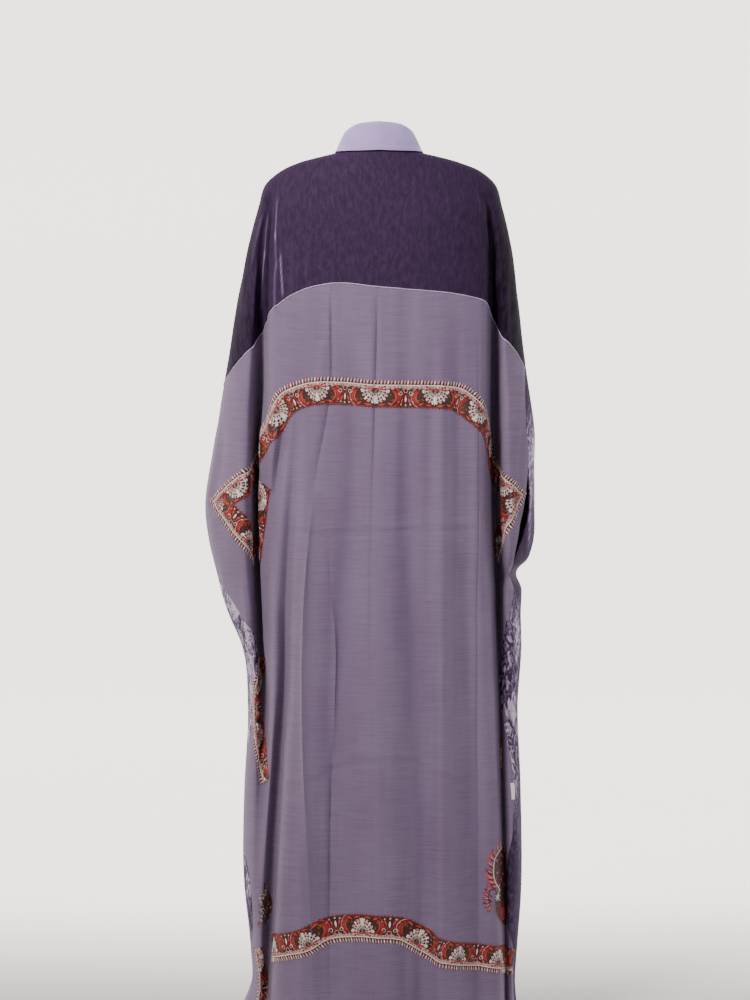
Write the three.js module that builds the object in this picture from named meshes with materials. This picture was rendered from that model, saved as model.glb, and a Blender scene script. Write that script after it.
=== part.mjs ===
// A wide open-fronted abaya as it hangs when worn. Millimetres. Z is up, the front faces -Y and +X is the
// wearer's left. The origin is on the wearer's centre line at the height of the nape.
import * as THREE from 'three';

// Length of the cloth down the centre back, from the neck seam to the hem
const LENGTH = 1444;
// Wall thicknesses of the velvet, the fine wool, the collar cotton and the care label
const VELVET = 2.0;
const WOOL = 1.6;
const COLLAR = 1.4;
const LABEL = 0.8;
// Half of the gap left at each seam
const HALF_SEAM = 1.2;
// Distance between the two front edges at the neck and at the hem
const FRONT_GAP_NECK = 30;
const FRONT_GAP_HEM = 74;
// Hand slits in the side seams: upper end, lower end and greatest width
const SLIT_TOP = 505;
const SLIT_BOTTOM = 700;
const SLIT_WIDTH = 46;
// Height of the stand's lower edge over the neck seam
const STAND_CLEAR = 0.9;
// Part of the neck ring left open in front of the collar, in degrees to each side
const COLLAR_OPEN = 17;
// Care label: how far down it hangs, how far round from the centre back, and its size
const LABEL_DROP = 1044;
const LABEL_ROUND = -281;
const LABEL_WIDE = 8;
const LABEL_LONG = 27;
const LABEL_CLEAR = 1.5;

// Rows and columns of the wall grids
const YOKE_ROWS = 9;
const BACK_ROWS = 31;
const LEVEL_STEP = 6;
const RING_POINTS = 960;
// Extra length counted for each radian of bend when the columns are shared out
const BEND_SHARE = 13;

// The closed outline of the cloth at each level. drop: how far down the cloth, zBack, zSide, zFront: height at
// the centre back, the sides and the centre front, left, right, back, front: reach from the origin,
// square: 2 is an ellipse and more is squarer, sway: how far back the sides lie
const SECTIONS = table(['drop', 'zBack', 'zSide', 'zFront', 'left', 'right', 'back', 'front', 'square', 'sway'], [
  [0, 0, -1, -78, 68, 68, 58, -70, 2.0, 0],
  [32, -31, -8, -98, 100, 102, 69, -84, 2.0, 0],
  [64, -63, -17, -122, 133, 134, 80, -96, 2.1, 0],
  [98, -97, -33, -150, 166, 171, 90, -105, 2.2, 2],
  [125, -124, -54, -176, 189, 194, 97, -111, 2.3, 4],
  [160, -159, -92, -208, 201, 206, 104, -116, 2.3, 5],
  [210, -209, -152, -252, 217, 220, 110, -120, 2.3, 4],
  [280, -279, -238, -312, 234, 231, 116, -123, 2.3, 0],
  [370, -369, -352, -390, 253, 245, 121, -125, 2.3, -8],
  [470, -470, -468, -476, 273, 261, 125, -126, 2.3, -16],
  [530, -530, -530, -530, 284, 261, 127, -127, 2.3, -20],
  [590, -590, -590, -590, 291, 261, 129, -128, 2.3, -22],
  [650, -650, -650, -650, 285, 259, 131, -128, 2.3, -22],
  [700, -700, -700, -700, 273, 244, 132, -128, 2.3, -20],
  [760, -760, -760, -760, 256, 238, 134, -128, 2.3, -17],
  [820, -820, -820, -820, 231, 239, 136, -128, 2.3, -14],
  [920, -920, -920, -920, 219, 232, 139, -128, 2.35, -10],
  [1060, -1060, -1060, -1060, 225, 237, 144, -128, 2.4, -6],
  [1210, -1210, -1210, -1210, 225, 238, 149, -128, 2.4, -3],
  [1320, -1320, -1320, -1320, 214, 231, 153, -128, 2.4, 0],
  [1380, -1380, -1380, -1380, 212, 227, 155, -129, 2.4, 0],
  [1444, -1444, -1444, -1444, 236, 232, 158, -131, 2.4, 0],
]);

// The folds that run down the cloth. drop: how far down, across: how far the valley lies from the centre plane,
// depth: how far it is pushed in, width: half width of the valley
const FOLD = ['drop', 'across', 'depth', 'width'];
const FOLDS = {
  armLeftBack: fold('back', 1, [
    [0, 50, 0, 8], [32, 76, 0, 8], [64, 106, 0, 9], [98, 142, 1, 9], [120, 166, 5, 10], [180, 186, 14, 11],
    [250, 192, 26, 12], [340, 194, 44, 13], [430, 196, 62, 14], [520, 198, 76, 15], [600, 198, 80, 15],
    [700, 197, 74, 15], [800, 192, 58, 15], [900, 190, 44, 14], [1000, 191, 28, 13], [1100, 194, 13, 13],
    [1200, 197, 4, 13], [1290, 198, 0, 13]]),
  armRightBack: fold('back', -1, [
    [0, 50, 0, 8], [32, 76, 0, 8], [64, 106, 0, 9], [98, 142, 1, 9], [120, 166, 6, 10], [180, 183, 18, 11],
    [260, 188, 34, 12], [340, 189, 48, 13], [430, 190, 62, 14], [520, 191, 72, 15], [620, 193, 74, 15],
    [740, 196, 64, 15], [860, 198, 52, 15], [1000, 201, 44, 14], [1150, 204, 38, 13], [1280, 206, 30, 12],
    [1444, 208, 24, 12]]),
  layerLeftBack: fold('back', 1, [
    [400, 150, 0, 10], [450, 154, 8, 10], [520, 164, 20, 11], [600, 172, 18, 11], [680, 172, 8, 11],
    [760, 168, 0, 12]]),
  drapeLeft: fold('back', 1, [
    [400, 133, 0, 10], [440, 134, 3, 10], [520, 139, 8, 11], [627, 146, 15, 12], [740, 151, 22, 13],
    [890, 154, 30, 13], [1008, 162, 36, 14], [1107, 169, 38, 14], [1185, 174, 38, 14], [1276, 179, 36, 14],
    [1386, 184, 33, 14], [1444, 186, 32, 14]]),
  drapeMidLeft: fold('back', 1, [
    [250, 62, 0, 14], [330, 54, 3, 17], [480, 44, 7, 20], [620, 46, 9, 22], [760, 56, 11, 24],
    [900, 64, 12, 26], [1100, 68, 13, 27], [1444, 72, 14, 27]]),
  drapeMidRight: fold('back', -1, [
    [250, 46, 0, 16], [420, 46, 5, 17], [620, 50, 8, 19], [820, 60, 11, 22], [1000, 66, 12, 24],
    [1444, 70, 14, 24]]),
  drapeRight: fold('back', -1, [
    [270, 124, 0, 16], [420, 132, 6, 18], [620, 138, 9, 20], [820, 146, 12, 22], [1000, 152, 14, 24],
    [1444, 156, 16, 24]]),
  armLeftFront: fold('front', 1, [
    [0, 50, 0, 10], [32, 76, 0, 10], [64, 106, 0, 10], [98, 142, 1, 12], [200, 178, 10, 14], [320, 186, 30, 15],
    [430, 190, 48, 16], [560, 192, 58, 17], [700, 190, 54, 17], [850, 184, 40, 17], [1100, 184, 36, 16],
    [1444, 186, 34, 16]]),
  armRightFront: fold('front', -1, [
    [0, 50, 0, 10], [32, 76, 0, 10], [64, 106, 0, 10], [98, 142, 1, 12], [200, 180, 10, 14], [320, 184, 32, 15],
    [430, 186, 50, 16], [560, 188, 60, 17], [700, 188, 54, 17], [850, 188, 42, 17], [1100, 190, 38, 16],
    [1444, 192, 34, 16]]),
  bustLeft: fold('front', 1, [
    [160, 100, 0, 14], [320, 104, 12, 16], [600, 110, 22, 18], [1000, 114, 28, 19], [1444, 120, 32, 20]]),
  bustRight: fold('front', -1, [
    [180, 98, 0, 14], [340, 100, 12, 16], [600, 104, 20, 18], [1000, 112, 28, 19], [1444, 116, 32, 20]]),
  edgeLeft: fold('front', 1, [
    [240, 56, 0, 12], [500, 58, 10, 14], [900, 64, 16, 15], [1444, 72, 22, 16]]),
  edgeRight: fold('front', -1, [
    [280, 56, 0, 12], [560, 56, 9, 14], [900, 62, 15, 15], [1444, 70, 20, 16]]),
};

// The seam between the yoke and the back panel. round: distance from the centre back along the cloth, to the
// wearer's left positive, drop: how far down the seam lies there
const YOKE_SEAM = table(['round', 'drop'], [
  [-372, 389], [-339, 374], [-302, 352], [-275, 336], [-245, 316], [-215, 290], [-182, 276], [-152, 264],
  [-117, 252], [-83, 244], [-34, 236], [6, 232], [63, 229], [114, 243], [148, 262], [178, 285], [215, 310],
  [245, 330], [275, 348], [302, 364], [338, 384], [388, 402],
]);

// The shoulder seams and the side seams below them. left, right: distance from the centre back along the cloth
const SIDE_SEAMS = table(['drop', 'left', 'right'], [
  [0, 99, -99], [32, 140, -141], [64, 179, -180], [98, 218, -223], [125, 247, -252], [160, 263, -272],
  [200, 281, -291], [280, 321, -328], [330, 350, -343], [370, 374, -345], [400, 390, -343], [452, 430, -350],
  [504, 455, -368], [540, 464, -370], [590, 470, -362], [640, 460, -345], [676, 444, -334], [713, 414, -335],
  [736, 380, -328], [762, 350, -316], [783, 326, -303], [804, 311, -289], [830, 305, -274], [880, 306, -263],
  [913, 310, -267], [953, 319, -279], [1000, 326, -287], [1050, 332, -289], [1100, 332, -285], [1140, 316, -280],
  [1164, 298, -272], [1190, 281, -263], [1220, 273, -260], [1253, 271, -262], [1288, 277, -269],
  [1336, 304, -278], [1380, 324, -281], [1444, 345, -282],
]);

// The collar round the neck. degrees: angle from the centre back, rise: height of the stand, lean: how far its top
// leans in, drop: how far down the cloth the fall's edge lies, clear: how far the edge stands off the cloth
const COLLAR_FORM = table(['degrees', 'rise', 'lean', 'drop', 'clear'], [
  [0, 42, 4, 2, 5], [35, 39, 6, 3, 5], [60, 32, 9, 3, 4.5], [90, 23, 11, 3, 4.5], [130, 17, 7, 14, 4],
  [180, 14, 4, 22, 4],
]);
// The fall over the stand. share: height on the stand as a part of its rise, out: how far off the stand's line,
// up: height over that
const FALL_PATH = table(['share', 'out', 'up'], [
  [1, -1.9, 2.7], [1, 0.2, 3.4], [1, 2.8, 2.4], [1, 4.6, -0.8], [0.76, 5.4, 0], [0.48, 5.7, 0], [0.22, 5.5, 0],
]);

// Columns between the anchors of the back: left seam, left valley, centre, right valley, right seam
const BACK_COLUMNS = [11, 19, 17, 7];
// Columns between the anchors of a front: side seam, arm valley, front edge
const FRONT_COLUMNS = [7, 11];
const COLLAR_COLUMNS = 26;

// Turn rows of numbers into named columns
function table(names, rows) {
  const out = {};
  names.forEach((name, i) => {
    out[name] = rows.map((row) => row[i]);
  });
  return out;
}

function fold(face, side, rows) {
  return { face, side, rows: table(FOLD, rows) };
}

// A smooth curve through the points (xs, ys), held level past its ends
function smooth(xs, ys, x) {
  const last = xs.length - 1;
  if (x <= xs[0]) return ys[0];
  if (x >= xs[last]) return ys[last];
  let i = 0;
  while (x > xs[i + 1]) i += 1;
  const rise = (j) => (ys[j + 1] - ys[j]) / (xs[j + 1] - xs[j]);
  const slope = (j) => {
    if (j === 0) return rise(0);
    if (j === last) return rise(last - 1);
    const before = xs[j] - xs[j - 1];
    const after = xs[j + 1] - xs[j];
    return (rise(j - 1) * after + rise(j) * before) / (before + after);
  };
  const h = xs[i + 1] - xs[i];
  const u = (x - xs[i]) / h;
  const value = ys[i] * (1 + 2 * u) * (1 - u) ** 2 + h * slope(i) * u * (1 - u) ** 2;
  return value + ys[i + 1] * u * u * (3 - 2 * u) - h * slope(i + 1) * u * u * (1 - u);
}

// Read a list at a place between its entries
function between(list, place) {
  const i = Math.min(list.length - 2, Math.max(0, Math.floor(place)));
  const u = place - i;
  return list[i] * (1 - u) + list[i + 1] * u;
}

function vectorBetween(list, place) {
  const i = Math.min(list.length - 2, Math.max(0, Math.floor(place)));
  return list[i].clone().lerp(list[i + 1], place - i);
}

// The place in a rising list where a value is reached
function placeOf(list, value) {
  let low = 0;
  let high = list.length - 1;
  while (high - low > 1) {
    const mid = (low + high) >> 1;
    if (list[mid] <= value) low = mid;
    else high = mid;
  }
  return low + (value - list[low]) / (list[high] - list[low]);
}

const ANGLES = [];
for (let j = 0; j <= RING_POINTS; j += 1) ANGLES.push(-Math.PI + (2 * Math.PI * j) / RING_POINTS);

// Lengths along a line of points, counted from its middle
function lengths(points, flat) {
  const out = [0];
  for (let j = 1; j < points.length; j += 1) {
    const step = points[j].clone().sub(points[j - 1]);
    if (flat) step.z = 0;
    out.push(out[j - 1] + step.length());
  }
  const middle = out[(points.length - 1) / 2];
  return out.map((v) => v - middle);
}

// Where the angle of a fold lies round a section
function foldAngle(entry, section, drop) {
  const across = smooth(entry.rows.drop, entry.rows.across, drop);
  const reach = entry.side > 0 ? section.left : section.right;
  const angle = Math.asin(Math.min(1, across / reach) ** (section.square / 2));
  return entry.side * (entry.face === 'back' ? angle : Math.PI - angle);
}

// One level of the cloth: a squared ellipse with each fold pushed in along Y as a bell-shaped valley
function makeLevel(drop) {
  const section = {};
  Object.keys(SECTIONS).forEach((name) => {
    section[name] = smooth(SECTIONS.drop, SECTIONS[name], drop);
  });
  const power = 2 / section.square;
  const points = ANGLES.map((angle) => {
    const s = Math.sin(angle);
    const c = Math.cos(angle);
    const x = (s > 0 ? section.left : section.right) * Math.sign(s) * Math.abs(s) ** power;
    const reach = c > 0 ? section.back : -section.front;
    const y = reach * Math.sign(c) * Math.abs(c) ** power + section.sway * s * s;
    const end = c > 0 ? section.zBack : section.zFront;
    return new THREE.Vector3(x, y, section.zSide + (end - section.zSide) * c * c);
  });
  const flat = lengths(points, true);
  const anchors = {};
  Object.entries(FOLDS).forEach(([name, entry]) => {
    const centre = between(flat, ((foldAngle(entry, section, drop) + Math.PI) * RING_POINTS) / (2 * Math.PI));
    anchors[name] = placeOf(flat, centre);
    if (drop < entry.rows.drop[0]) return;
    const depth = smooth(entry.rows.drop, entry.rows.depth, drop);
    const width = smooth(entry.rows.drop, entry.rows.width, drop);
    const push = entry.face === 'back' ? -depth : depth;
    points.forEach((point, j) => {
      point.y += push * Math.exp(-(((flat[j] - centre) / width) ** 2));
    });
  });
  const arc = lengths(points, false);
  const share = [0];
  for (let j = 1; j <= RING_POINTS; j += 1) {
    const a = points[j].clone().sub(points[j - 1]);
    const b = points[j === RING_POINTS ? 1 : j + 1].clone().sub(points[j]);
    share.push(share[j - 1] + a.length() + BEND_SHARE * a.angleTo(b));
  }
  return { drop, points, arc, share, anchors };
}

const LEVELS = [];
const LEVEL_COUNT = Math.round(LENGTH / LEVEL_STEP);
for (let i = 0; i <= LEVEL_COUNT; i += 1) LEVELS.push(makeLevel((LENGTH * i) / LEVEL_COUNT));

// Outward directions of the cloth at every point of every level
LEVELS.forEach((level, i) => {
  const above = LEVELS[Math.max(0, i - 1)].points;
  const below = LEVELS[Math.min(LEVEL_COUNT, i + 1)].points;
  level.normals = level.points.map((point, j) => {
    const next = level.points[j === RING_POINTS ? 1 : j + 1];
    const past = level.points[j === 0 ? RING_POINTS - 1 : j - 1];
    const along = next.clone().sub(past);
    const down = below[j].clone().sub(above[j]);
    return along.cross(down).normalize();
  });
});

// The places of the columns on one level between the given anchors
function columnPlaces(level, anchors, counts) {
  const places = [];
  counts.forEach((count, i) => {
    const from = between(level.share, anchors[i]);
    const to = between(level.share, anchors[i + 1]);
    const first = i === 0 ? 0 : 1;
    for (let k = first; k <= count; k += 1) {
      const goal = from + ((to - from) * k) / count;
      places.push(placeOf(level.share, goal));
    }
  });
  return places;
}

// A set of columns that run down the whole cloth
function makeColumns(anchorsOf, counts) {
  const columns = [];
  LEVELS.forEach((level) => {
    columnPlaces(level, anchorsOf(level), counts).forEach((place, k) => {
      if (!columns[k]) columns[k] = { points: [], normals: [], arc: [] };
      columns[k].points.push(vectorBetween(level.points, place));
      columns[k].normals.push(vectorBetween(level.normals, place).normalize());
      columns[k].arc.push(between(level.arc, place));
    });
  });
  return columns;
}

function seamRound(side, drop) {
  return smooth(SIDE_SEAMS.drop, SIDE_SEAMS[side], drop);
}

// How wide a hand slit stands open at a level
function slitWidth(drop) {
  const u = (drop - SLIT_TOP) / (SLIT_BOTTOM - SLIT_TOP);
  return u > 0 && u < 1 ? SLIT_WIDTH * Math.sin(Math.PI * u) ** 2 : 0;
}

const backColumns = makeColumns((level) => [
  placeOf(level.arc, seamRound('right', level.drop) + HALF_SEAM),
  level.anchors.armRightBack,
  RING_POINTS / 2,
  level.anchors.armLeftBack,
  placeOf(level.arc, seamRound('left', level.drop) - HALF_SEAM),
], [...BACK_COLUMNS].reverse());

function frontColumns(side) {
  const sign = side === 'left' ? 1 : -1;
  const columns = makeColumns((level) => {
    const seam = seamRound(side, level.drop) + sign * (HALF_SEAM + slitWidth(level.drop));
    const gap = FRONT_GAP_NECK + ((FRONT_GAP_HEM - FRONT_GAP_NECK) * level.drop) / LENGTH;
    const edge = sign > 0 ? level.arc[RING_POINTS] - gap / 2 : level.arc[0] + gap / 2;
    const valley = sign > 0 ? level.anchors.armLeftFront : level.anchors.armRightFront;
    return [placeOf(level.arc, seam), valley, placeOf(level.arc, edge)];
  }, FRONT_COLUMNS);
  return sign > 0 ? columns : columns.reverse();
}

// The level at which a column of the back crosses the yoke seam
function seamDrop(column) {
  for (let i = 1; i <= LEVEL_COUNT; i += 1) {
    const off = (k) => LEVELS[k].drop - smooth(YOKE_SEAM.round, YOKE_SEAM.drop, column.arc[k]);
    if (off(i) >= 0) return LEVELS[i - 1].drop + (-off(i - 1) / (off(i) - off(i - 1))) * LEVEL_STEP;
  }
  return LENGTH;
}

function at(column, drop) {
  const place = (drop / LENGTH) * LEVEL_COUNT;
  return { point: vectorBetween(column.points, place), normal: vectorBetween(column.normals, place).normalize() };
}

// A closed wall from a grid of outer points and outward directions, thick towards the inside
function wall(name, grid, thickness, colour, roughness) {
  const rows = grid.length;
  const cols = grid[0].length;
  const positions = [];
  const put = (v) => positions.push(v.x, v.y, v.z);
  grid.forEach((row) => row.forEach((cell) => put(cell.point)));
  grid.forEach((row) => row.forEach((cell) => put(cell.point.clone().addScaledVector(cell.normal, -thickness))));
  const outer = (i, k) => i * cols + k;
  const inner = (i, k) => rows * cols + i * cols + k;
  const index = [];
  const quad = (a, b, c, d) => index.push(a, c, b, a, d, c);
  for (let i = 0; i < rows - 1; i += 1) {
    for (let k = 0; k < cols - 1; k += 1) {
      quad(outer(i, k), outer(i + 1, k), outer(i + 1, k + 1), outer(i, k + 1));
      quad(inner(i, k), inner(i, k + 1), inner(i + 1, k + 1), inner(i + 1, k));
    }
  }
  for (let k = 0; k < cols - 1; k += 1) {
    quad(outer(0, k + 1), inner(0, k + 1), inner(0, k), outer(0, k));
    quad(outer(rows - 1, k + 1), outer(rows - 1, k), inner(rows - 1, k), inner(rows - 1, k + 1));
  }
  for (let i = 0; i < rows - 1; i += 1) {
    quad(outer(i + 1, 0), outer(i, 0), inner(i, 0), inner(i + 1, 0));
    quad(outer(i + 1, cols - 1), inner(i + 1, cols - 1), inner(i, cols - 1), outer(i, cols - 1));
  }
  const geometry = new THREE.BufferGeometry();
  geometry.setAttribute('position', new THREE.Float32BufferAttribute(positions, 3));
  geometry.setIndex(index);
  geometry.computeVertexNormals();
  const material = new THREE.MeshStandardMaterial({ color: colour, roughness, metalness: 0 });
  const mesh = new THREE.Mesh(geometry, material);
  mesh.name = name;
  return mesh;
}

function steps(from, to, count) {
  return Array.from({ length: count + 1 }, (unused, i) => from + ((to - from) * i) / count);
}

// The yoke runs from the neck to its seam, the back panel from there to the hem
function yoke() {
  const seams = backColumns.map(seamDrop);
  const grid = steps(0, 1, YOKE_ROWS).map((v) => backColumns.map((column, k) => at(column, v * (seams[k] - HALF_SEAM))));
  return wall('back_yoke', grid, VELVET, '#422e4a', 0.6);
}

function backPanel() {
  const seams = backColumns.map(seamDrop);
  const grid = steps(0, 1, BACK_ROWS).map((v) => backColumns.map((column, k) => {
    const top = seams[k] + HALF_SEAM;
    return at(column, top + v * (LENGTH - top));
  }));
  return wall('back_panel', grid, WOOL, '#86778c', 0.85);
}

// A front has a row at each row of the yoke and of the back panel where they meet its side seam
function front(side) {
  const meet = seamDrop(side === 'left' ? backColumns[backColumns.length - 1] : backColumns[0]);
  const drops = [...steps(0, meet, YOKE_ROWS), ...steps(meet, LENGTH, BACK_ROWS).slice(1)];
  const columns = frontColumns(side);
  const grid = drops.map((drop) => columns.map((column) => at(column, drop)));
  return wall(`front_${side}`, grid, VELVET, '#422e4a', 0.6);
}

// The neck ring: base point, outward direction in the level plane and the angle from the centre back
function neckPlace(degrees) {
  const place = ((degrees + 180) * RING_POINTS) / 360;
  const point = vectorBetween(LEVELS[0].points, place);
  const ahead = vectorBetween(LEVELS[0].points, Math.min(RING_POINTS, place + 1));
  const behind = vectorBetween(LEVELS[0].points, Math.max(0, place - 1));
  const along = ahead.sub(behind);
  const out = new THREE.Vector3(-along.y, along.x, 0).normalize();
  const base = { place, point, out };
  ['rise', 'lean', 'drop', 'clear'].forEach((key) => {
    base[key] = smooth(COLLAR_FORM.degrees, COLLAR_FORM[key], Math.abs(degrees));
  });
  return base;
}

function neckPlaces() {
  return steps(-180 + COLLAR_OPEN, 180 - COLLAR_OPEN, COLLAR_COLUMNS).map(neckPlace);
}

// Points across the collar become a grid whose outward directions come from its neighbours
function gridFromPoints(points) {
  return points.map((row, i) => row.map((point, k) => {
    const down = points[Math.min(points.length - 1, i + 1)][k].clone().sub(points[Math.max(0, i - 1)][k]);
    const along = row[Math.min(row.length - 1, k + 1)].clone().sub(row[Math.max(0, k - 1)]);
    return { point, normal: along.cross(down).normalize() };
  }));
}

function offset(base, out, up) {
  return base.point.clone().addScaledVector(base.out, out).add(new THREE.Vector3(0, 0, up));
}

// The stand rises from the neck seam and leans in
function collarStand() {
  const bases = neckPlaces();
  const points = steps(1, 0, 3).map((v) => bases.map((base) => (
    offset(base, -base.lean * v, STAND_CLEAR + v * (base.rise - STAND_CLEAR))
  )));
  return wall('collar_stand', gridFromPoints(points), COLLAR, '#b7a6ca', 0.8);
}

// The fall turns over the top of the stand and comes down outside it to the neck seam
function collarFall() {
  const bases = neckPlaces();
  const points = FALL_PATH.share.map((share, i) => bases.map((base) => (
    offset(base, FALL_PATH.out[i] - base.lean * share, base.rise * share + FALL_PATH.up[i])
  )));
  points.push(bases.map((base) => {
    const place = (base.drop / LENGTH) * LEVEL_COUNT;
    const level = Math.floor(place);
    const point = vectorBetween(LEVELS[level].points, base.place);
    point.lerp(vectorBetween(LEVELS[level + 1].points, base.place), place - level);
    return point.addScaledVector(vectorBetween(LEVELS[level].normals, base.place).normalize(), base.clear);
  }));
  return wall('collar_fall', gridFromPoints(points), COLLAR, '#b7a6ca', 0.8);
}

// The care label is made from points of the cloth beside the right side seam, moved out
function careLabel() {
  const grid = steps(0, 1, 3).map((v) => {
    const drop = LABEL_DROP + v * LABEL_LONG;
    const place = (drop / LENGTH) * LEVEL_COUNT;
    const level = LEVELS[Math.round(place)];
    return steps(-1, 0, 2).map((u) => {
      const spot = placeOf(level.arc, LABEL_ROUND + u * LABEL_WIDE);
      const normal = vectorBetween(level.normals, spot).normalize();
      const point = vectorBetween(level.points, spot).addScaledVector(normal, LABEL_CLEAR + LABEL);
      point.z = -drop;
      return { point, normal };
    });
  });
  return wall('care_label', grid, LABEL, '#eceae6', 0.7);
}

const abaya = new THREE.Group();
abaya.name = 'abaya';
abaya.add(yoke());
abaya.add(backPanel());
abaya.add(front('left'));
abaya.add(front('right'));
abaya.add(collarStand());
abaya.add(collarFall());
abaya.add(careLabel());
export default abaya;
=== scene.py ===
import bpy
import math
import numpy as np
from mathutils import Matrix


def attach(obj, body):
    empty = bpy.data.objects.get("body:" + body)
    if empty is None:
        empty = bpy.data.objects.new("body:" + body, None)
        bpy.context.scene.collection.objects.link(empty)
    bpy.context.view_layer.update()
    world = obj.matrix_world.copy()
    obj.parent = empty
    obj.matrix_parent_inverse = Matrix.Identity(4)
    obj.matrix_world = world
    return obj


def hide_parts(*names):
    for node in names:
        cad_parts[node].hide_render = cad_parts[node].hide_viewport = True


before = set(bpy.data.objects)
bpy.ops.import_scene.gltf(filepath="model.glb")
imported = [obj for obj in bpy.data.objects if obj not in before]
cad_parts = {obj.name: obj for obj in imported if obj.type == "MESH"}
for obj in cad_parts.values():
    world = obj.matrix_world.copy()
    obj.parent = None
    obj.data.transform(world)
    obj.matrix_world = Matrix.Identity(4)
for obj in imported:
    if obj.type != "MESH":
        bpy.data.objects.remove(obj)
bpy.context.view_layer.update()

# Sizes in millimetres; drop is measured down the cloth from the neck seam, round from the centre back and
# positive to the garment's left
LENGTH = 1444.0
VELVET, WOOL, COLLAR = 1.9, 1.5, 1.3  # thicknesses of the cloths
HALF_SEAM = 0.6  # left free on each side of the yoke seam, under the roll
SEAM_LAP = 0.1  # how far the back and the fronts each pass the side seam, so that no light comes through
FRONT_GAP_NECK, FRONT_GAP_HEM = 30.0, 74.0
SLIT_TOP, SLIT_BOTTOM, SLIT_WIDTH = 505.0, 700.0, 20.0
STAND_CLEAR = 0.9  # the stand's foot above the neck seam
COLLAR_OPEN = 17.0  # degrees that the collar leaves open on each side of the front
BEND_SHARE = 13.0  # a bend of one radian gets as many columns as this length
CREASE_HALF, CREASE_SIDE = 2.6, 2.1  # half width of a crisp crease, and how far from it its outer columns stand
NICK_DEEP, NICK_ROUND, NICK_DROP = 17, -382, 704  # the nick in the right edge under the hand slit
# Beside the side seams the velvet is partly crushed pile and partly painted sheen
CRUSH_AND_SHEEN_REACH = 85  # how far from a side seam the velvet lies crushed
BAND_WIDE, REPEAT = 48.0, 99.0
MM = 0.001


def table(names, rows):
    """Turn rows of numbers into named columns."""
    columns = np.array(rows, float).T
    return dict(zip(names, columns))


# The closed outline of the cloth at each level
SECTIONS = table(("drop", "z_back", "z_side", "z_front", "left", "right", "back", "front", "square", "sway"), [
    (0, 0, -1, -78, 68, 68, 58, -70, 2.0, 0),
    (32, -31, -8, -98, 100, 102, 69, -84, 2.0, 0),
    (64, -63, -17, -122, 133, 134, 80, -96, 2.1, 0),
    (98, -97, -33, -150, 166, 171, 90, -105, 2.2, 2),
    (125, -124, -54, -176, 189, 194, 97, -111, 2.3, 4),
    (160, -159, -92, -208, 201, 206, 104, -116, 2.3, 5),
    (210, -209, -152, -252, 217, 220, 110, -120, 2.3, 4),
    (280, -279, -238, -312, 234, 231, 116, -123, 2.3, 0),
    (370, -369, -352, -390, 253, 245, 121, -125, 2.3, -8),
    (470, -470, -468, -476, 273, 261, 125, -126, 2.3, -16),
    (530, -530, -530, -530, 284, 261, 127, -127, 2.3, -20),
    (590, -590, -590, -590, 291, 261, 129, -128, 2.3, -22),
    (650, -650, -650, -650, 285, 259, 131, -128, 2.3, -22),
    (700, -700, -700, -700, 273, 244, 132, -128, 2.3, -20),
    (760, -760, -760, -760, 256, 238, 134, -128, 2.3, -17),
    (820, -820, -820, -820, 231, 239, 136, -128, 2.3, -14),
    (920, -920, -920, -920, 219, 232, 139, -128, 2.35, -10),
    (1060, -1060, -1060, -1060, 225, 237, 144, -128, 2.4, -6),
    (1210, -1210, -1210, -1210, 225, 238, 149, -128, 2.4, -3),
    (1320, -1320, -1320, -1320, 214, 231, 153, -128, 2.4, 0),
    (1380, -1380, -1380, -1380, 212, 227, 155, -129, 2.4, 0),
    (1444, -1444, -1444, -1444, 236, 232, 158, -131, 2.4, 0),
])

FOLD = ("drop", "across", "depth", "width")
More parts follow.
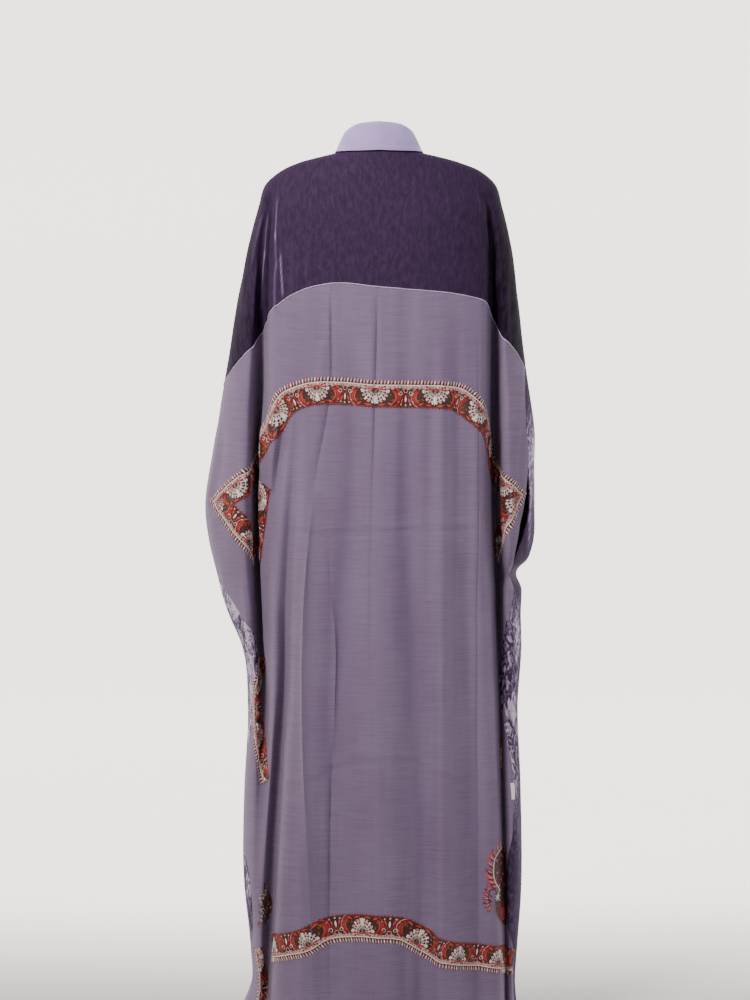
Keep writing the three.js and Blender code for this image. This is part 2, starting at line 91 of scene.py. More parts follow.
# The folds that run down the cloth: name, face, side, then a row for each point of the valley
FOLDS = {
    "arm_left_back": ("back", 1, table(FOLD, [
        (0, 50, 0, 8), (32, 76, 0, 8), (64, 106, 0, 9), (98, 142, 1, 9), (120, 166, 5, 10), (180, 186, 14, 11),
        (250, 192, 26, 12), (340, 194, 44, 13), (430, 196, 62, 14), (520, 198, 76, 15), (600, 198, 80, 15),
        (700, 197, 74, 15), (800, 192, 58, 15), (900, 190, 44, 14), (1000, 191, 28, 13), (1100, 194, 13, 13),
        (1200, 197, 4, 13), (1290, 198, 0, 13)])),
    "arm_right_back": ("back", -1, table(FOLD, [
        (0, 50, 0, 8), (32, 76, 0, 8), (64, 106, 0, 9), (98, 142, 1, 9), (120, 166, 6, 10), (180, 183, 18, 11),
        (260, 188, 34, 12), (340, 189, 48, 13), (430, 190, 62, 14), (520, 191, 72, 15), (620, 193, 74, 15),
        (740, 196, 64, 15), (860, 198, 52, 15), (1000, 201, 44, 14), (1150, 204, 38, 13), (1280, 206, 30, 12),
        (1444, 208, 24, 12)])),
    "layer_left_back": ("back", 1, table(FOLD, [
        (400, 150, 0, 10), (450, 154, 8, 10), (520, 164, 20, 11), (600, 172, 18, 11), (680, 172, 8, 11),
        (760, 168, 0, 12)])),
    "drape_left": ("back", 1, table(FOLD, [
        (400, 133, 0, 10), (440, 134, 3, 10), (520, 139, 8, 11), (627, 146, 15, 12), (740, 151, 22, 13),
        (890, 154, 30, 13), (1008, 162, 36, 14), (1107, 169, 38, 14), (1185, 174, 38, 14), (1276, 179, 36, 14),
        (1386, 184, 33, 14), (1444, 186, 32, 14)])),
    "drape_mid_left": ("back", 1, table(FOLD, [
        (250, 62, 0, 14), (330, 54, 3, 17), (480, 44, 7, 20), (620, 46, 9, 22), (760, 56, 11, 24),
        (900, 64, 12, 26), (1100, 68, 13, 27), (1444, 72, 14, 27)])),
    "drape_mid_right": ("back", -1, table(FOLD, [
        (250, 46, 0, 16), (420, 46, 5, 17), (620, 50, 8, 19), (820, 60, 11, 22), (1000, 66, 12, 24),
        (1444, 70, 14, 24)])),
    "drape_right": ("back", -1, table(FOLD, [
        (270, 124, 0, 16), (420, 132, 6, 18), (620, 138, 9, 20), (820, 146, 12, 22), (1000, 152, 14, 24),
        (1444, 156, 16, 24)])),
    "arm_left_front": ("front", 1, table(FOLD, [
        (0, 50, 0, 10), (32, 76, 0, 10), (64, 106, 0, 10), (98, 142, 1, 12), (200, 178, 10, 14),
        (320, 186, 30, 15), (430, 190, 48, 16), (560, 192, 58, 17), (700, 190, 54, 17), (850, 184, 40, 17),
        (1100, 184, 36, 16), (1444, 186, 34, 16)])),
    "arm_right_front": ("front", -1, table(FOLD, [
        (0, 50, 0, 10), (32, 76, 0, 10), (64, 106, 0, 10), (98, 142, 1, 12), (200, 180, 10, 14),
        (320, 184, 32, 15), (430, 186, 50, 16), (560, 188, 60, 17), (700, 188, 54, 17), (850, 188, 42, 17),
        (1100, 190, 38, 16), (1444, 192, 34, 16)])),
    "bust_left": ("front", 1, table(FOLD, [
        (160, 100, 0, 14), (320, 104, 12, 16), (600, 110, 22, 18), (1000, 114, 28, 19), (1444, 120, 32, 20)])),
    "bust_right": ("front", -1, table(FOLD, [
        (180, 98, 0, 14), (340, 100, 12, 16), (600, 104, 20, 18), (1000, 112, 28, 19), (1444, 116, 32, 20)])),
    "edge_left": ("front", 1, table(FOLD, [
        (240, 56, 0, 12), (500, 58, 10, 14), (900, 64, 16, 15), (1444, 72, 22, 16)])),
    "edge_right": ("front", -1, table(FOLD, [
        (280, 56, 0, 12), (560, 56, 9, 14), (900, 62, 15, 15), (1444, 70, 20, 16)])),
}

YOKE_SEAM = table(("round", "drop"), [
    (-372, 389), (-339, 374), (-302, 352), (-275, 336), (-245, 316), (-215, 290), (-182, 276), (-152, 264),
    (-117, 252), (-83, 244), (-34, 236), (6, 232), (63, 229), (114, 243), (148, 262), (178, 285), (215, 310),
    (245, 330), (275, 348), (302, 364), (338, 384), (388, 402),
])

SIDE_SEAMS = table(("drop", "left", "right"), [
    (0, 99, -99), (32, 140, -141), (64, 179, -180), (98, 218, -223), (125, 247, -252), (160, 263, -272),
    (200, 281, -291), (280, 321, -328), (330, 350, -343), (370, 374, -345), (400, 390, -343), (452, 430, -350),
    (504, 455, -368), (540, 464, -370), (590, 470, -362), (640, 460, -345), (676, 444, -334), (713, 414, -335),
    (736, 380, -328), (762, 350, -316), (783, 324, -303), (804, 308, -289), (830, 300, -274), (880, 299, -263),
    (913, 300, -267), (953, 303, -279), (1000, 318, -287), (1050, 330, -289), (1100, 332, -285), (1140, 316, -280),
    (1164, 298, -272), (1190, 281, -263), (1220, 273, -260), (1253, 271, -262), (1288, 277, -269),
    (1336, 304, -278), (1380, 324, -281), (1444, 345, -282),
])

# The collar by degrees from the centre back: height of the fold over the neck seam, how far the stand leans in,
# and where the edge of the fall lies on the yoke
COLLAR_FORM = table(("degrees", "rise", "lean", "drop", "clear"), [
    (0, 42, 4, 4, 3.4), (35, 39, 6, 6, 3), (60, 32, 9, 7, 2.6), (90, 23, 11, 5, 2.6), (130, 17, 7, 15, 3.4),
    (180, 14, 4, 22, 4),
])

# The path of the fall over the fold: share of the rise, and how far out and up from there
FALL_PATH = table(("share", "out", "up"), [
    (1, -1.9, 2.7), (1, 0.2, 3.4), (1, 2.8, 2.4), (1, 4.6, -0.8), (0.76, 5.4, 0), (0.48, 5.7, 0), (0.22, 5.5, 0),
])

# Long soft ridges and creases pressed or hung into the back: round and drop of each end, height (a crease is
# negative) and half width
BACK_CREASES = table(("round0", "drop0", "round1", "drop1", "height", "half"), [
    (232, 400, 245, 900, 9, 18),
    (12, 236, 24, 900, 1.6, 7),
    (-8, 236, 4, 1400, 1.4, 9),
    (88, 300, 112, 560, 2.6, 7),
    (58, 280, 52, 620, 1.8, 12),
    (121, 380, 123, 1000, 3.6, 8),
    (123, 880, 126, 1444, 3.4, 9),
    (150, 560, 158, 1000, -1.8, 7),
    (-28, 300, -24, 700, 1.4, 9),
    (-20, 640, -22, 1300, 1.4, 9),
    (-100, 300, -103, 960, 4.4, 7),
    (-103, 820, -104, 1444, 4.2, 8),
    (-82, 360, -86, 1100, -1.8, 8),
    (-140, 300, -146, 700, 2.0, 8),
    (-166, 420, -170, 1000, 1.8, 7),
    (-128, 560, -132, 1200, -1.6, 8),
    (-66, 900, -60, 1444, 2.0, 13),
    (102, 1000, 96, 1444, -1.8, 8),
    (20, 1000, 26, 1444, 1.6, 10),
    (-40, 1240, -46, 1444, -2.2, 10),
    (-160, 1100, -164, 1444, 2.0, 10),
    (320, 430, 360, 660, 2.6, 14),
    (372, 440, 420, 620, -2.4, 9),
    (395, 460, 436, 600, 2.0, 9),
    (340, 700, 318, 800, 2.0, 9),
    (-300, 400, -312, 640, 2.2, 10),
    (-344, 440, -350, 640, -2.0, 8),
    (-330, 560, -300, 800, 2.0, 9),
    (184, 120, 176, 226, 1.8, 4),
    (178, 226, 175, 300, 1.8, 4),
    (168, 200, 160, 270, 1.8, 4),
    (211, 150, 233, 300, 2.0, 5),
    (222, 160, 248, 244, 1.8, 5),
    (235, 226, 264, 326, 1.8, 5),
    (200, 150, 205, 330, -1.8, 5),
    (-192, 130, -197, 210, 1.6, 5),
    (-233, 210, -236, 300, 2.0, 6),
    (-262, 260, -284, 350, 1.8, 7),
    (-214, 150, -218, 300, -1.8, 6),
])

# Broad hangs of the back at full strength, each sloping gently one way and steeply the other, and their strength
# by drop
HANGS = table(("round", "height"), [
    (-900, 0), (-320, 0), (-215, 0), (-190, -4), (-150, -2), (-112, 5), (-102, 4.5), (-88, -4), (-60, -3),
    (-30, 1), (-14, 4), (5, 3), (22, -5), (70, -3), (122, 6), (146, 5), (200, 0), (320, 0), (900, 0),
])
HANG_STRENGTH = table(("drop", "share"), [(0, 0), (300, 0), (560, 0.4), (800, 0.75), (1150, 1), (1444, 1)])

# Crisp creases down the back: round and height by drop
CREASES = {
    "middle": table(("drop", "round", "height"), [
        (232, 3, 0), (260, 3, -1.6), (577, 11, -1.8), (771, 15, -2.0), (996, 13, -1.8), (1220, 11, -1.6),
        (1444, 10, -1.4)]),
    "left": table(("drop", "round", "height"), [
        (240, 78, 0), (280, 78, -3.2), (392, 79, -3.4), (450, 87, -3.2), (504, 98, -2.6), (560, 106, 0),
        (1444, 110, 0)]),
    "pressed": table(("drop", "round", "height"), [
        (600, 84, 0), (740, 79, 0), (780, 75, 2.6), (930, 76, 2.8), (980, 78, 0), (1444, 84, 0)]),
    "right": table(("drop", "round", "height"), [
        (300, -166, 0), (420, -168, -1.6), (800, -172, -2.2), (1200, -176, -1.8), (1444, -178, -1.4)]),
}


def smooth(xs, ys, x):
    """A smooth curve through the points (xs, ys), held level past its ends: on each stretch a cubic that meets
    both points with slopes averaged from the neighbouring stretches, nearer ones counting more."""
    x = np.clip(x, xs[0], xs[-1])
    gap = np.diff(xs)
    rise = np.diff(ys) / gap
    inner = (rise[:-1] * gap[1:] + rise[1:] * gap[:-1]) / (gap[1:] + gap[:-1])
    slope = np.concatenate([rise[:1], inner, rise[-1:]])
    i = np.clip(np.searchsorted(xs, x, side="left") - 1, 0, len(xs) - 2)
    h = gap[i]
    u = (x - xs[i]) / h
    value = ys[i] * (1 + 2 * u) * (1 - u) ** 2 + h * slope[i] * u * (1 - u) ** 2
    return value + ys[i + 1] * u * u * (3 - 2 * u) - h * slope[i + 1] * u * u * (1 - u)


def curve(rows, key, x):
    """A column of a table read as a smooth curve over the table's first column."""
    return smooth(next(iter(rows.values())), rows[key], x)


def ease(x, low, high):
    """0 below low, 1 above high, and a smooth step between."""
    u = np.clip((x - low) / (high - low), 0, 1)
    return u * u * (3 - 2 * u)


LEVELS = 362
ANGLES = 1441
HALF_ROUND = 900
DROP = np.linspace(0, LENGTH, LEVELS)
ANGLE = np.linspace(-math.pi, math.pi, ANGLES)
ROUND = np.arange(-HALF_ROUND, HALF_ROUND + 1, 1.0)


def running_length(steps):
    """Lengths added up along each level and counted from its middle point."""
    total = np.concatenate([np.zeros((LEVELS, 1)), np.cumsum(steps, axis=1)], axis=1)
    return total - total[:, ANGLES // 2:ANGLES // 2 + 1]


def by_level(values, rows, out):
    """For each level, the entry of out where the rising row reaches the value."""
    return np.array([np.interp(v, r, o) for v, r, o in zip(values, rows, out)])


def make_levels():
    """The cloth at every level: x and y are a squared ellipse, x = reach * sin^p and y = reach * cos^p, z runs
    from its side value to its back or front value with cos squared, and each fold pushes y in by
    depth * exp(-((length - centre) / width)^2)."""
    sec = {name: curve(SECTIONS, name, DROP)[:, None] for name in SECTIONS}
    s, c = np.sin(ANGLE)[None], np.cos(ANGLE)[None]
    power = 2 / sec["square"]
    x = np.where(s > 0, sec["left"], sec["right"]) * np.sign(s) * np.abs(s) ** power
    y = np.where(c > 0, sec["back"], -sec["front"]) * np.sign(c) * np.abs(c) ** power + sec["sway"] * s * s
    z = sec["z_side"] + (np.where(c > 0, sec["z_back"], sec["z_front"]) - sec["z_side"]) * c * c
    flat = running_length(np.hypot(np.diff(x, axis=1), np.diff(y, axis=1)))
    angles = np.broadcast_to(ANGLE, flat.shape)
    anchors = {}
    for name, (face, side, rows) in FOLDS.items():
        across, depth, width = (curve(rows, key, DROP) for key in ("across", "depth", "width"))
        reach = (sec["left"] if side > 0 else sec["right"])[:, 0]
        angle = np.arcsin(np.minimum(1, across / reach) ** (sec["square"][:, 0] / 2))
        angle = side * (angle if face == "back" else math.pi - angle)
        anchors[name] = centre = by_level(angle, angles, flat)
        depth = np.where(DROP < rows["drop"][0], 0, depth)
        bell = depth[:, None] * np.exp(-((flat - centre[:, None]) / width[:, None]) ** 2)
        y = y - bell if face == "back" else y + bell
    points = np.stack([x, y, z], axis=2)
    step = np.diff(points, axis=1)
    length = running_length(np.linalg.norm(step, axis=2))
    way = unit(step)
    bend = np.arccos(np.clip((way[:, :-1] * way[:, 1:]).sum(axis=2), -1, 1))
    bend = np.concatenate([bend, np.zeros((LEVELS, 1))], axis=1)
    share = running_length(np.linalg.norm(step, axis=2) + BEND_SHARE * bend)
    anchors = {name: by_level(centre, flat, length) for name, centre in anchors.items()}
    return points, length, share, anchors


def unit(vectors):
    """Each vector divided by its length."""
    return vectors / (np.linalg.norm(vectors, axis=-1, keepdims=True) + 1e-9)


def surface_normals(points):
    """Outward directions of a grid whose rows run down and whose columns run round to the garment's left."""
    down = np.gradient(points, axis=0)
    along = np.gradient(points, axis=1)
    return unit(np.cross(along, down))


RAW, LENGTHS, SHARE, VALLEYS = make_levels()


def line_length(points):
    """Length along a line of points, counted from its start."""
    return np.concatenate([[0], np.cumsum(np.linalg.norm(np.diff(points, axis=0), axis=1))])


def read_line(at, length, points):
    """Places at given lengths along a line of points, each coordinate read straight between its neighbours."""
    return np.stack([np.interp(at, length, column) for column in points.T], axis=-1)


def level_place(drop):
    """The level above a drop, and what share of the way to the next level it lies."""
    i = np.clip(drop / LENGTH * (LEVELS - 1), 0, LEVELS - 1.001)
    return i.astype(int), i - i.astype(int)


def hash_noise(x, y, seed):
    """Smooth random values from 0 to 1 on a unit lattice, mixed with a smooth step between lattice points."""
    rng = np.random.default_rng(seed)
    lattice = rng.random((64, 64))
    xi, yi = np.floor(x).astype(int), np.floor(y).astype(int)
    u, v = x - xi, y - yi
    u, v = u * u * (3 - 2 * u), v * v * (3 - 2 * v)
    a, b = lattice[xi % 64, yi % 64], lattice[(xi + 1) % 64, yi % 64]
    c, d = lattice[xi % 64, (yi + 1) % 64], lattice[(xi + 1) % 64, (yi + 1) % 64]
    return (a * (1 - u) + b * u) * (1 - v) + (c * (1 - u) + d * u) * v


def line_bells(lines, around, drop):
    """Soft bells across lines: each adds height * exp(-(distance round from the line / half width)^2), faded with a
    smooth step over the first and last fifth of its length."""
    total = np.zeros(np.broadcast(around, drop).shape)
    for round0, drop0, round1, drop1, high, half in zip(*lines.values()):
        u = (drop - drop0) / (drop1 - drop0)
        fade = ease(u, -0.02, 0.2) * (1 - ease(u, 0.8, 1.02))
        total += high * fade * np.exp(-((around - (round0 + (round1 - round0) * u)) / half) ** 2)
    return total


def crease_height(around, drop):
    """How far the cloth stands off its plain form: the listed ridges, the broad hangs, the crisp creases as bells,
    gathers at the yoke seam that are a sine across the cloth faded down from it, two lines pressed across the
    back, the nick in the right edge under the hand slit, and a low random unevenness."""
    height = line_bells(BACK_CREASES, around, drop)
    height += curve(HANGS, "height", around) * curve(HANG_STRENGTH, "share", drop)
    for rows in CREASES.values():
        height += curve(rows, "height", drop) * np.exp(-((around - curve(rows, "round", drop)) / CREASE_HALF) ** 2)
    below = drop - curve(YOKE_SEAM, "drop", around)
    inside = ease(np.abs(around), 180, 150)
    gather = 0.6 * np.sin(around / 6.0 + 2.6 * hash_noise(around / 60, drop / 300, 3))
    height += gather * inside * np.where(below > 0, np.exp(-np.abs(below) / 60), np.exp(-np.abs(below) / 12))
    for line, bow in ((620, 0.0), (990, 44.0)):
        wave = line + bow * ease(np.abs(around), 30, 160) + 3 * np.sin(around / 90)
        height += inside * 0.8 * (np.exp(-((drop - wave) / 3.5) ** 2) - 0.7 * np.exp(-((drop - wave - 9) / 5) ** 2))
    height -= NICK_DEEP * np.exp(-((around - NICK_ROUND) / 62) ** 2 - ((drop - NICK_DROP) / 15) ** 2)
    uneven = hash_noise(around / 23, drop / 140, 5) - 0.5 + 0.4 * (hash_noise(around / 11, drop / 70, 6) - 0.5)
    height += 1.5 * uneven * ease(drop, 60, 260)
    return height


# The same cloth read at even distances round from the centre back, 1 mm apart, on every level
GRID = np.array([read_line(ROUND, lengths, level) for lengths, level in zip(LENGTHS, RAW)])
GRID_NORMAL = surface_normals(GRID)
GRID = GRID + GRID_NORMAL * crease_height(ROUND[None, :], DROP[:, None])[:, :, None]


def read_grid(grid, around, drop):
    """A value of a grid at any distance round and drop, mixed from its four nearest grid points."""
    i0, u = level_place(drop)
    j = np.clip(around + HALF_ROUND, 0, len(ROUND) - 1.001)
    j0 = j.astype(int)
    u, v = u[..., None], (j - j0)[..., None]
    top = grid[i0, j0] * (1 - v) + grid[i0, j0 + 1] * v
    low = grid[i0 + 1, j0] * (1 - v) + grid[i0 + 1, j0 + 1] * v
    return top * (1 - u) + low * u


def on_cloth(around, drop, lift=0.0):
    """Points of the cloth at a distance round and a drop, moved out by lift."""
    around, drop = np.broadcast_arrays(np.asarray(around, float), np.asarray(drop, float))
    lift = np.broadcast_to(lift, around.shape)
    normal = unit(read_grid(GRID_NORMAL, around, drop))
    return read_grid(GRID, around, drop) + normal * lift[..., None], normal


def make_piece(name, verts, quads, uv=None, colour=None, material=None, sharp=50):
    """A mesh from points in millimetres and four-cornered faces, with UVs per point and colours per face."""
    mesh = bpy.data.meshes.new(name)
    quads = np.asarray(quads, np.int32)
    mesh.vertices.add(len(verts))
    mesh.vertices.foreach_set("co", (np.asarray(verts) * MM).astype(np.float32).ravel())
    mesh.loops.add(quads.size)
    mesh.loops.foreach_set("vertex_index", quads.ravel())
    mesh.polygons.add(len(quads))
    mesh.polygons.foreach_set("loop_start", np.arange(0, quads.size, 4, dtype=np.int32))
    mesh.polygons.foreach_set("loop_total", np.full(len(quads), 4, np.int32))
    mesh.polygons.foreach_set("use_smooth", np.ones(len(quads), bool))
    if uv is not None:
        layer = mesh.uv_layers.new(name="cloth")
        layer.data.foreach_set("uv", np.asarray(uv, np.float32)[quads.ravel()].ravel())
    if colour is not None:
        layer = mesh.color_attributes.new(name="thread", type="FLOAT_COLOR", domain="CORNER")
        layer.data.foreach_set("color", np.repeat(np.asarray(colour, np.float32), 4, axis=0).ravel())
    mesh.update(calc_edges=True)
    mesh.validate()
    mesh.set_sharp_from_angle(angle=math.radians(sharp))
    piece = bpy.data.objects.new(name, mesh)
    bpy.context.scene.collection.objects.link(piece)
    if material is not None:
        mesh.materials.append(material)
    return piece


def grid_quads(rows, cols):
    """Faces of a grid of points, facing the side that along crosses down points to."""
    i, k = np.meshgrid(np.arange(rows - 1), np.arange(cols - 1), indexing="ij")
    a = (i * cols + k).ravel()
    return np.stack([a, a + 1, a + cols + 1, a + cols], axis=1)


def wall(name, points, normals, thick, uv, material, values=None):
    """A closed shell: the outer grid, the same grid moved in by the thickness, and a strip round the rim."""
    rows, cols = points.shape[:2]
    count = rows * cols
    verts = np.concatenate([points.reshape(-1, 3), (points - normals * thick).reshape(-1, 3)])
    outer = grid_quads(rows, cols)
    index = np.arange(count).reshape(rows, cols)
    ring = np.concatenate([index[0, :-1], index[:-1, -1], index[-1, :0:-1], index[:0:-1, 0]])
    after = np.roll(ring, -1)
    rim = np.stack([after, ring, ring + count, after + count], axis=1)
    uvs = np.concatenate([uv.reshape(-1, 2)] * 2) * MM
    piece = make_piece(name, verts, np.concatenate([outer, outer[:, ::-1] + count, rim]), uvs, material=material)
    for key, value in (values or {}).items():
        layer = piece.data.attributes.new(name=key, type="FLOAT", domain="POINT")
        layer.data.foreach_set("value", np.concatenate([value.ravel()] * 2).astype(np.float32))
    return piece


def past_seam(around, drop):
    """How far round past the side seam a place lies: above 0 on the fronts, below 0 on the back."""
    return np.abs(around) - np.where(around > 0, curve(SIDE_SEAMS, "left", drop), -curve(SIDE_SEAMS, "right", drop))


def slit_width(drop):
    """The hand slit's gap: the slit width times the squared sine of the way down it."""
    u = np.clip((drop - SLIT_TOP) / (SLIT_BOTTOM - SLIT_TOP), 0, 1)
    return SLIT_WIDTH * np.sin(math.pi * u) ** 2


def columns_between(anchors, counts):
    """Distances round of the columns on every level, shared out between the anchors by length and bend."""
    shares = [by_level(anchor, LENGTHS, SHARE) for anchor in anchors]
    parts = []
    for n, count in enumerate(counts):
        u = np.linspace(0, 1, count + 1)[None, 0 if n == 0 else 1:]
        parts.append(shares[n][:, None] * (1 - u) + shares[n + 1][:, None] * u)
    goals = np.concatenate(parts, axis=1)
    return np.array([np.interp(g, s, l) for g, s, l in zip(goals, SHARE, LENGTHS)])


def read_columns(columns, drop):
    """The distance round of each column at its own drops."""
    i0, u = level_place(drop)
    k = np.broadcast_to(np.arange(columns.shape[1]), drop.shape)
    return columns[i0, k] * (1 - u) + columns[i0 + 1, k] * u


def column_seams(columns):
    """The drop at which each column meets the yoke seam."""
    off = DROP[:, None] - curve(YOKE_SEAM, "drop", columns)
    i = np.argmax(off > 0, axis=0)
    k = np.arange(columns.shape[1])
    u = -off[i - 1, k] / (off[i, k] - off[i - 1, k])
    return DROP[i - 1] + u * (DROP[1] - DROP[0])


def back_columns(counts):
    """Columns of the back from side seam to side seam, kept on the floors of the two arm folds, with three more
    close together on each crisp crease, all put in order round on every level."""
    plain = columns_between([
        curve(SIDE_SEAMS, "right", DROP) - SEAM_LAP, VALLEYS["arm_right_back"], np.zeros(LEVELS),
        VALLEYS["arm_left_back"], curve(SIDE_SEAMS, "left", DROP) + SEAM_LAP], counts)
    creases = [curve(rows, "round", DROP) + off
               for rows in CREASES.values() for off in (-CREASE_SIDE, 0, CREASE_SIDE)]
    return np.sort(np.concatenate([plain, np.stack(creases, axis=1)], axis=1), axis=1)


def front_columns(side):
    """Columns of a front from its side seam, past the hand slit, to its open edge."""
    sign = 1 if side == "left" else -1
    seam = curve(SIDE_SEAMS, side, DROP) + sign * (slit_width(DROP) - SEAM_LAP)
    gap = FRONT_GAP_NECK + (FRONT_GAP_HEM - FRONT_GAP_NECK) * DROP / LENGTH
    edge = LENGTHS[:, -1] - gap / 2 if sign > 0 else LENGTHS[:, 0] + gap / 2
    valley = VALLEYS["arm_%s_front" % side]
    return columns_between([seam, valley, edge], (32, 54)) if sign > 0 else \
        columns_between([edge, valley, seam], (54, 32))


def linear(code):
    """An sRGB hex value as the linear colour a shader takes."""
    values = [int(code[i:i + 2], 16) / 255 for i in (1, 3, 5)]
    return tuple(v / 12.92 if v <= 0.04045 else ((v + 0.055) / 1.055) ** 2.4 for v in values) + (1.0,)


def add(tree, kind, inputs=None, stops=None, **settings):
    """Add a shader node, give it its settings and colour stops, and set or link each named or numbered input; a
    node given as an input stands for its first output."""
    node = tree.nodes.new("ShaderNode" + kind)
    for key, value in settings.items():
        setattr(node, key, value)
    for key, value in (inputs or {}).items():
        if isinstance(value, bpy.types.Node):
            value = value.outputs[0]
        if isinstance(value, bpy.types.NodeSocket):
            tree.links.new(value, node.inputs[key])
        else:
            node.inputs[key].default_value = value
    for n, (place, code) in enumerate(stops or ()):
        elements = node.color_ramp.elements
        element = elements[n] if n < 2 else elements.new(place)
        element.position, element.color = place, linear(code)
    return node


def new_material(name, finish):
    """A material with one principled shader whose sockets hold the finish, and a map of its cloth in metres."""
    material = bpy.data.materials.new(name)
    material.use_nodes = True
    tree = material.node_tree
    tree.nodes.clear()
    shader = add(tree, "BsdfPrincipled", finish)
    add(tree, "OutputMaterial", {"Surface": shader})
    return material, tree, shader, add(tree, "UVMap", uv_map="cloth").outputs["UV"]


def dress(tree, shader, colour, height=None, strength=0.0, distance=0.0):
    """Give a shader its colour, and a bump from a height whose full range stands for the distance in metres."""
    tree.links.new(colour, shader.inputs["Base Color"])
    if height is not None:
        bump = add(tree, "Bump", {"Height": height, "Strength": strength, "Distance": distance})
        tree.links.new(bump.outputs["Normal"], shader.inputs["Normal"])


def shawl_wool():
    """Fine worsted shawl wool, plain woven and softly milled: matt, with faint weft slubs across the piece and a
    pale bloom at grazing angles. Its wefts lie 0.5 mm apart, drawn 1.8 mm apart and 60 mm long so that they show."""
    material, tree, shader, cloth = new_material("fine mauve shawl wool", {
        "Roughness": 0.86, "IOR": 1.5, "Specular IOR Level": 0.22, "Sheen Weight": 0.22, "Sheen Roughness": 0.5,
        "Sheen Tint": linear("#cbbfd2")})
    weft, warp, wide = (add(tree, "Mapping", {"Vector": cloth, "Scale": (*scale, 1)})
                        for scale in ((17, 560), (520, 14), (9, 4)))
    slub = add(tree, "TexNoise", {"Vector": weft, "Scale": 1.0, "Detail": 3.0, "Roughness": 0.6})
    rib = add(tree, "TexNoise", {"Vector": warp, "Scale": 1.0, "Detail": 2.0, "Roughness": 0.5})
    cloud = add(tree, "TexNoise", {"Vector": wide, "Scale": 1.0, "Detail": 3.0})
    threads = add(tree, "Math", {0: rib, 1: 0.22, 2: slub}, operation="MULTIPLY_ADD")
    shade = add(tree, "ValToRGB", {"Fac": threads}, [(0.42, "#716279"), (0.8, "#7e6f87"), (0.6, "#786981")])
    tone = add(tree, "ValToRGB", {"Fac": cloud}, [(0.3, "#ece6ee"), (0.7, "#ffffff")])
    colour = add(tree, "Mix", {0: 1.0, 6: shade, 7: tone}, data_type="RGBA", blend_type="MULTIPLY")
    dress(tree, shader, colour.outputs[2], threads, 0.25, 0.0005)
    return material


def pile_velvet():
    """Plum rayon pile velvet: nearly black where one looks down into the pile and silvery where the pile is crushed,
    with painted sheen on the crushed pile beside the side seams, painted highlights along folds that catch the light
    and painted shade towards the yoke's edges. One attribute holds the crushed pile with its painted sheen, the other
    the painted highlights and painted shade with broad patches of crushed pile.
    Crushed spots are about 5 by 10 mm; the pile is under 0.3 mm thick, drawn as a 1 mm grain."""
    material, tree, shader, cloth = new_material("plum pile velvet", {
        "Roughness": 0.78, "IOR": 1.47, "Specular IOR Level": 0.12, "Sheen Weight": 0.06, "Sheen Roughness": 0.35,
        "Sheen Tint": linear("#8a6f9a")})
    crush_and_sheen, painted_light_and_crush = (add(tree, "Attribute", attribute_name=name).outputs["Fac"] for name in ("crush_and_sheen", "painted_light_and_crush"))
    spot, patch, pile = (add(tree, "Mapping", {"Vector": cloth, "Scale": (*scale, 1)})
                         for scale in ((120, 62), (150, 66), (950, 700)))
    crush = add(tree, "TexNoise", {"Vector": spot, "Scale": 1.0, "Detail": 4.0, "Roughness": 0.62, "Distortion": 1.3})
    mottle = add(tree, "TexNoise", {"Vector": patch, "Scale": 1.0, "Detail": 5.0, "Roughness": 0.6,
                                    "Distortion": 0.5})
    grain = add(tree, "TexNoise", {"Vector": pile, "Scale": 1.0, "Detail": 1.0})
    spots = add(tree, "MapRange", {"Value": crush, "From Min": 0.4, "From Max": 0.62})
    # painted light: how far the colour turns pale and silvery, from the crushed pile with its painted sheen and from
    # the painted highlights
    lit = add(tree, "Math", {0: spots, 1: crush_and_sheen, 2: painted_light_and_crush}, operation="MULTIPLY_ADD", use_clamp=True)
    depth = add(tree, "Math", {0: grain, 1: 0.5, 2: mottle}, operation="MULTIPLY_ADD")
    # painted light and shade: the painted highlights and painted shade are added to the pile's grain and mottle
    # before the deep colours are picked
    turned = add(tree, "Math", {0: painted_light_and_crush, 1: 0.8, 2: depth}, operation="MULTIPLY_ADD")
    deep = add(tree, "ValToRGB", {"Fac": turned},
               [(0.2, "#120b16"), (0.95, "#3f2b48"), (0.72, "#33223d"), (0.52, "#2c1d35")])
    pale = add(tree, "ValToRGB", {"Fac": lit}, [(0.0, "#35243f"), (1.0, "#c3b6cb"), (0.45, "#766587")])
    colour = add(tree, "Mix", {0: lit, 6: deep, 7: pale}, data_type="RGBA")
    dress(tree, shader, colour.outputs[2], depth, 0.3, 0.001)
    return material


def collar_cotton():
    """Smooth lilac cotton sateen: even colour with a faint slanting twill. Its threads lie 0.3 mm apart, drawn
    0.9 mm apart."""
    material, tree, shader, cloth = new_material("lilac cotton sateen", {
        "Roughness": 0.62, "IOR": 1.5, "Specular IOR Level": 0.3, "Sheen Weight": 0.15, "Sheen Roughness": 0.4})
    twill = add(tree, "TexWave", {"Vector": cloth, "Scale": 330.0, "Distortion": 1.5, "Detail": 2.0},
                bands_direction="DIAGONAL")
    cloud = add(tree, "TexNoise", {"Vector": cloth, "Scale": 28.0, "Detail": 3.0})
    colour = add(tree, "ValToRGB", {"Fac": cloud}, [(0.3, "#a48fc6"), (0.7, "#b29ed3")])
    dress(tree, shader, colour.outputs["Color"], twill.outputs["Fac"], 0.25, 0.0003)
    return material


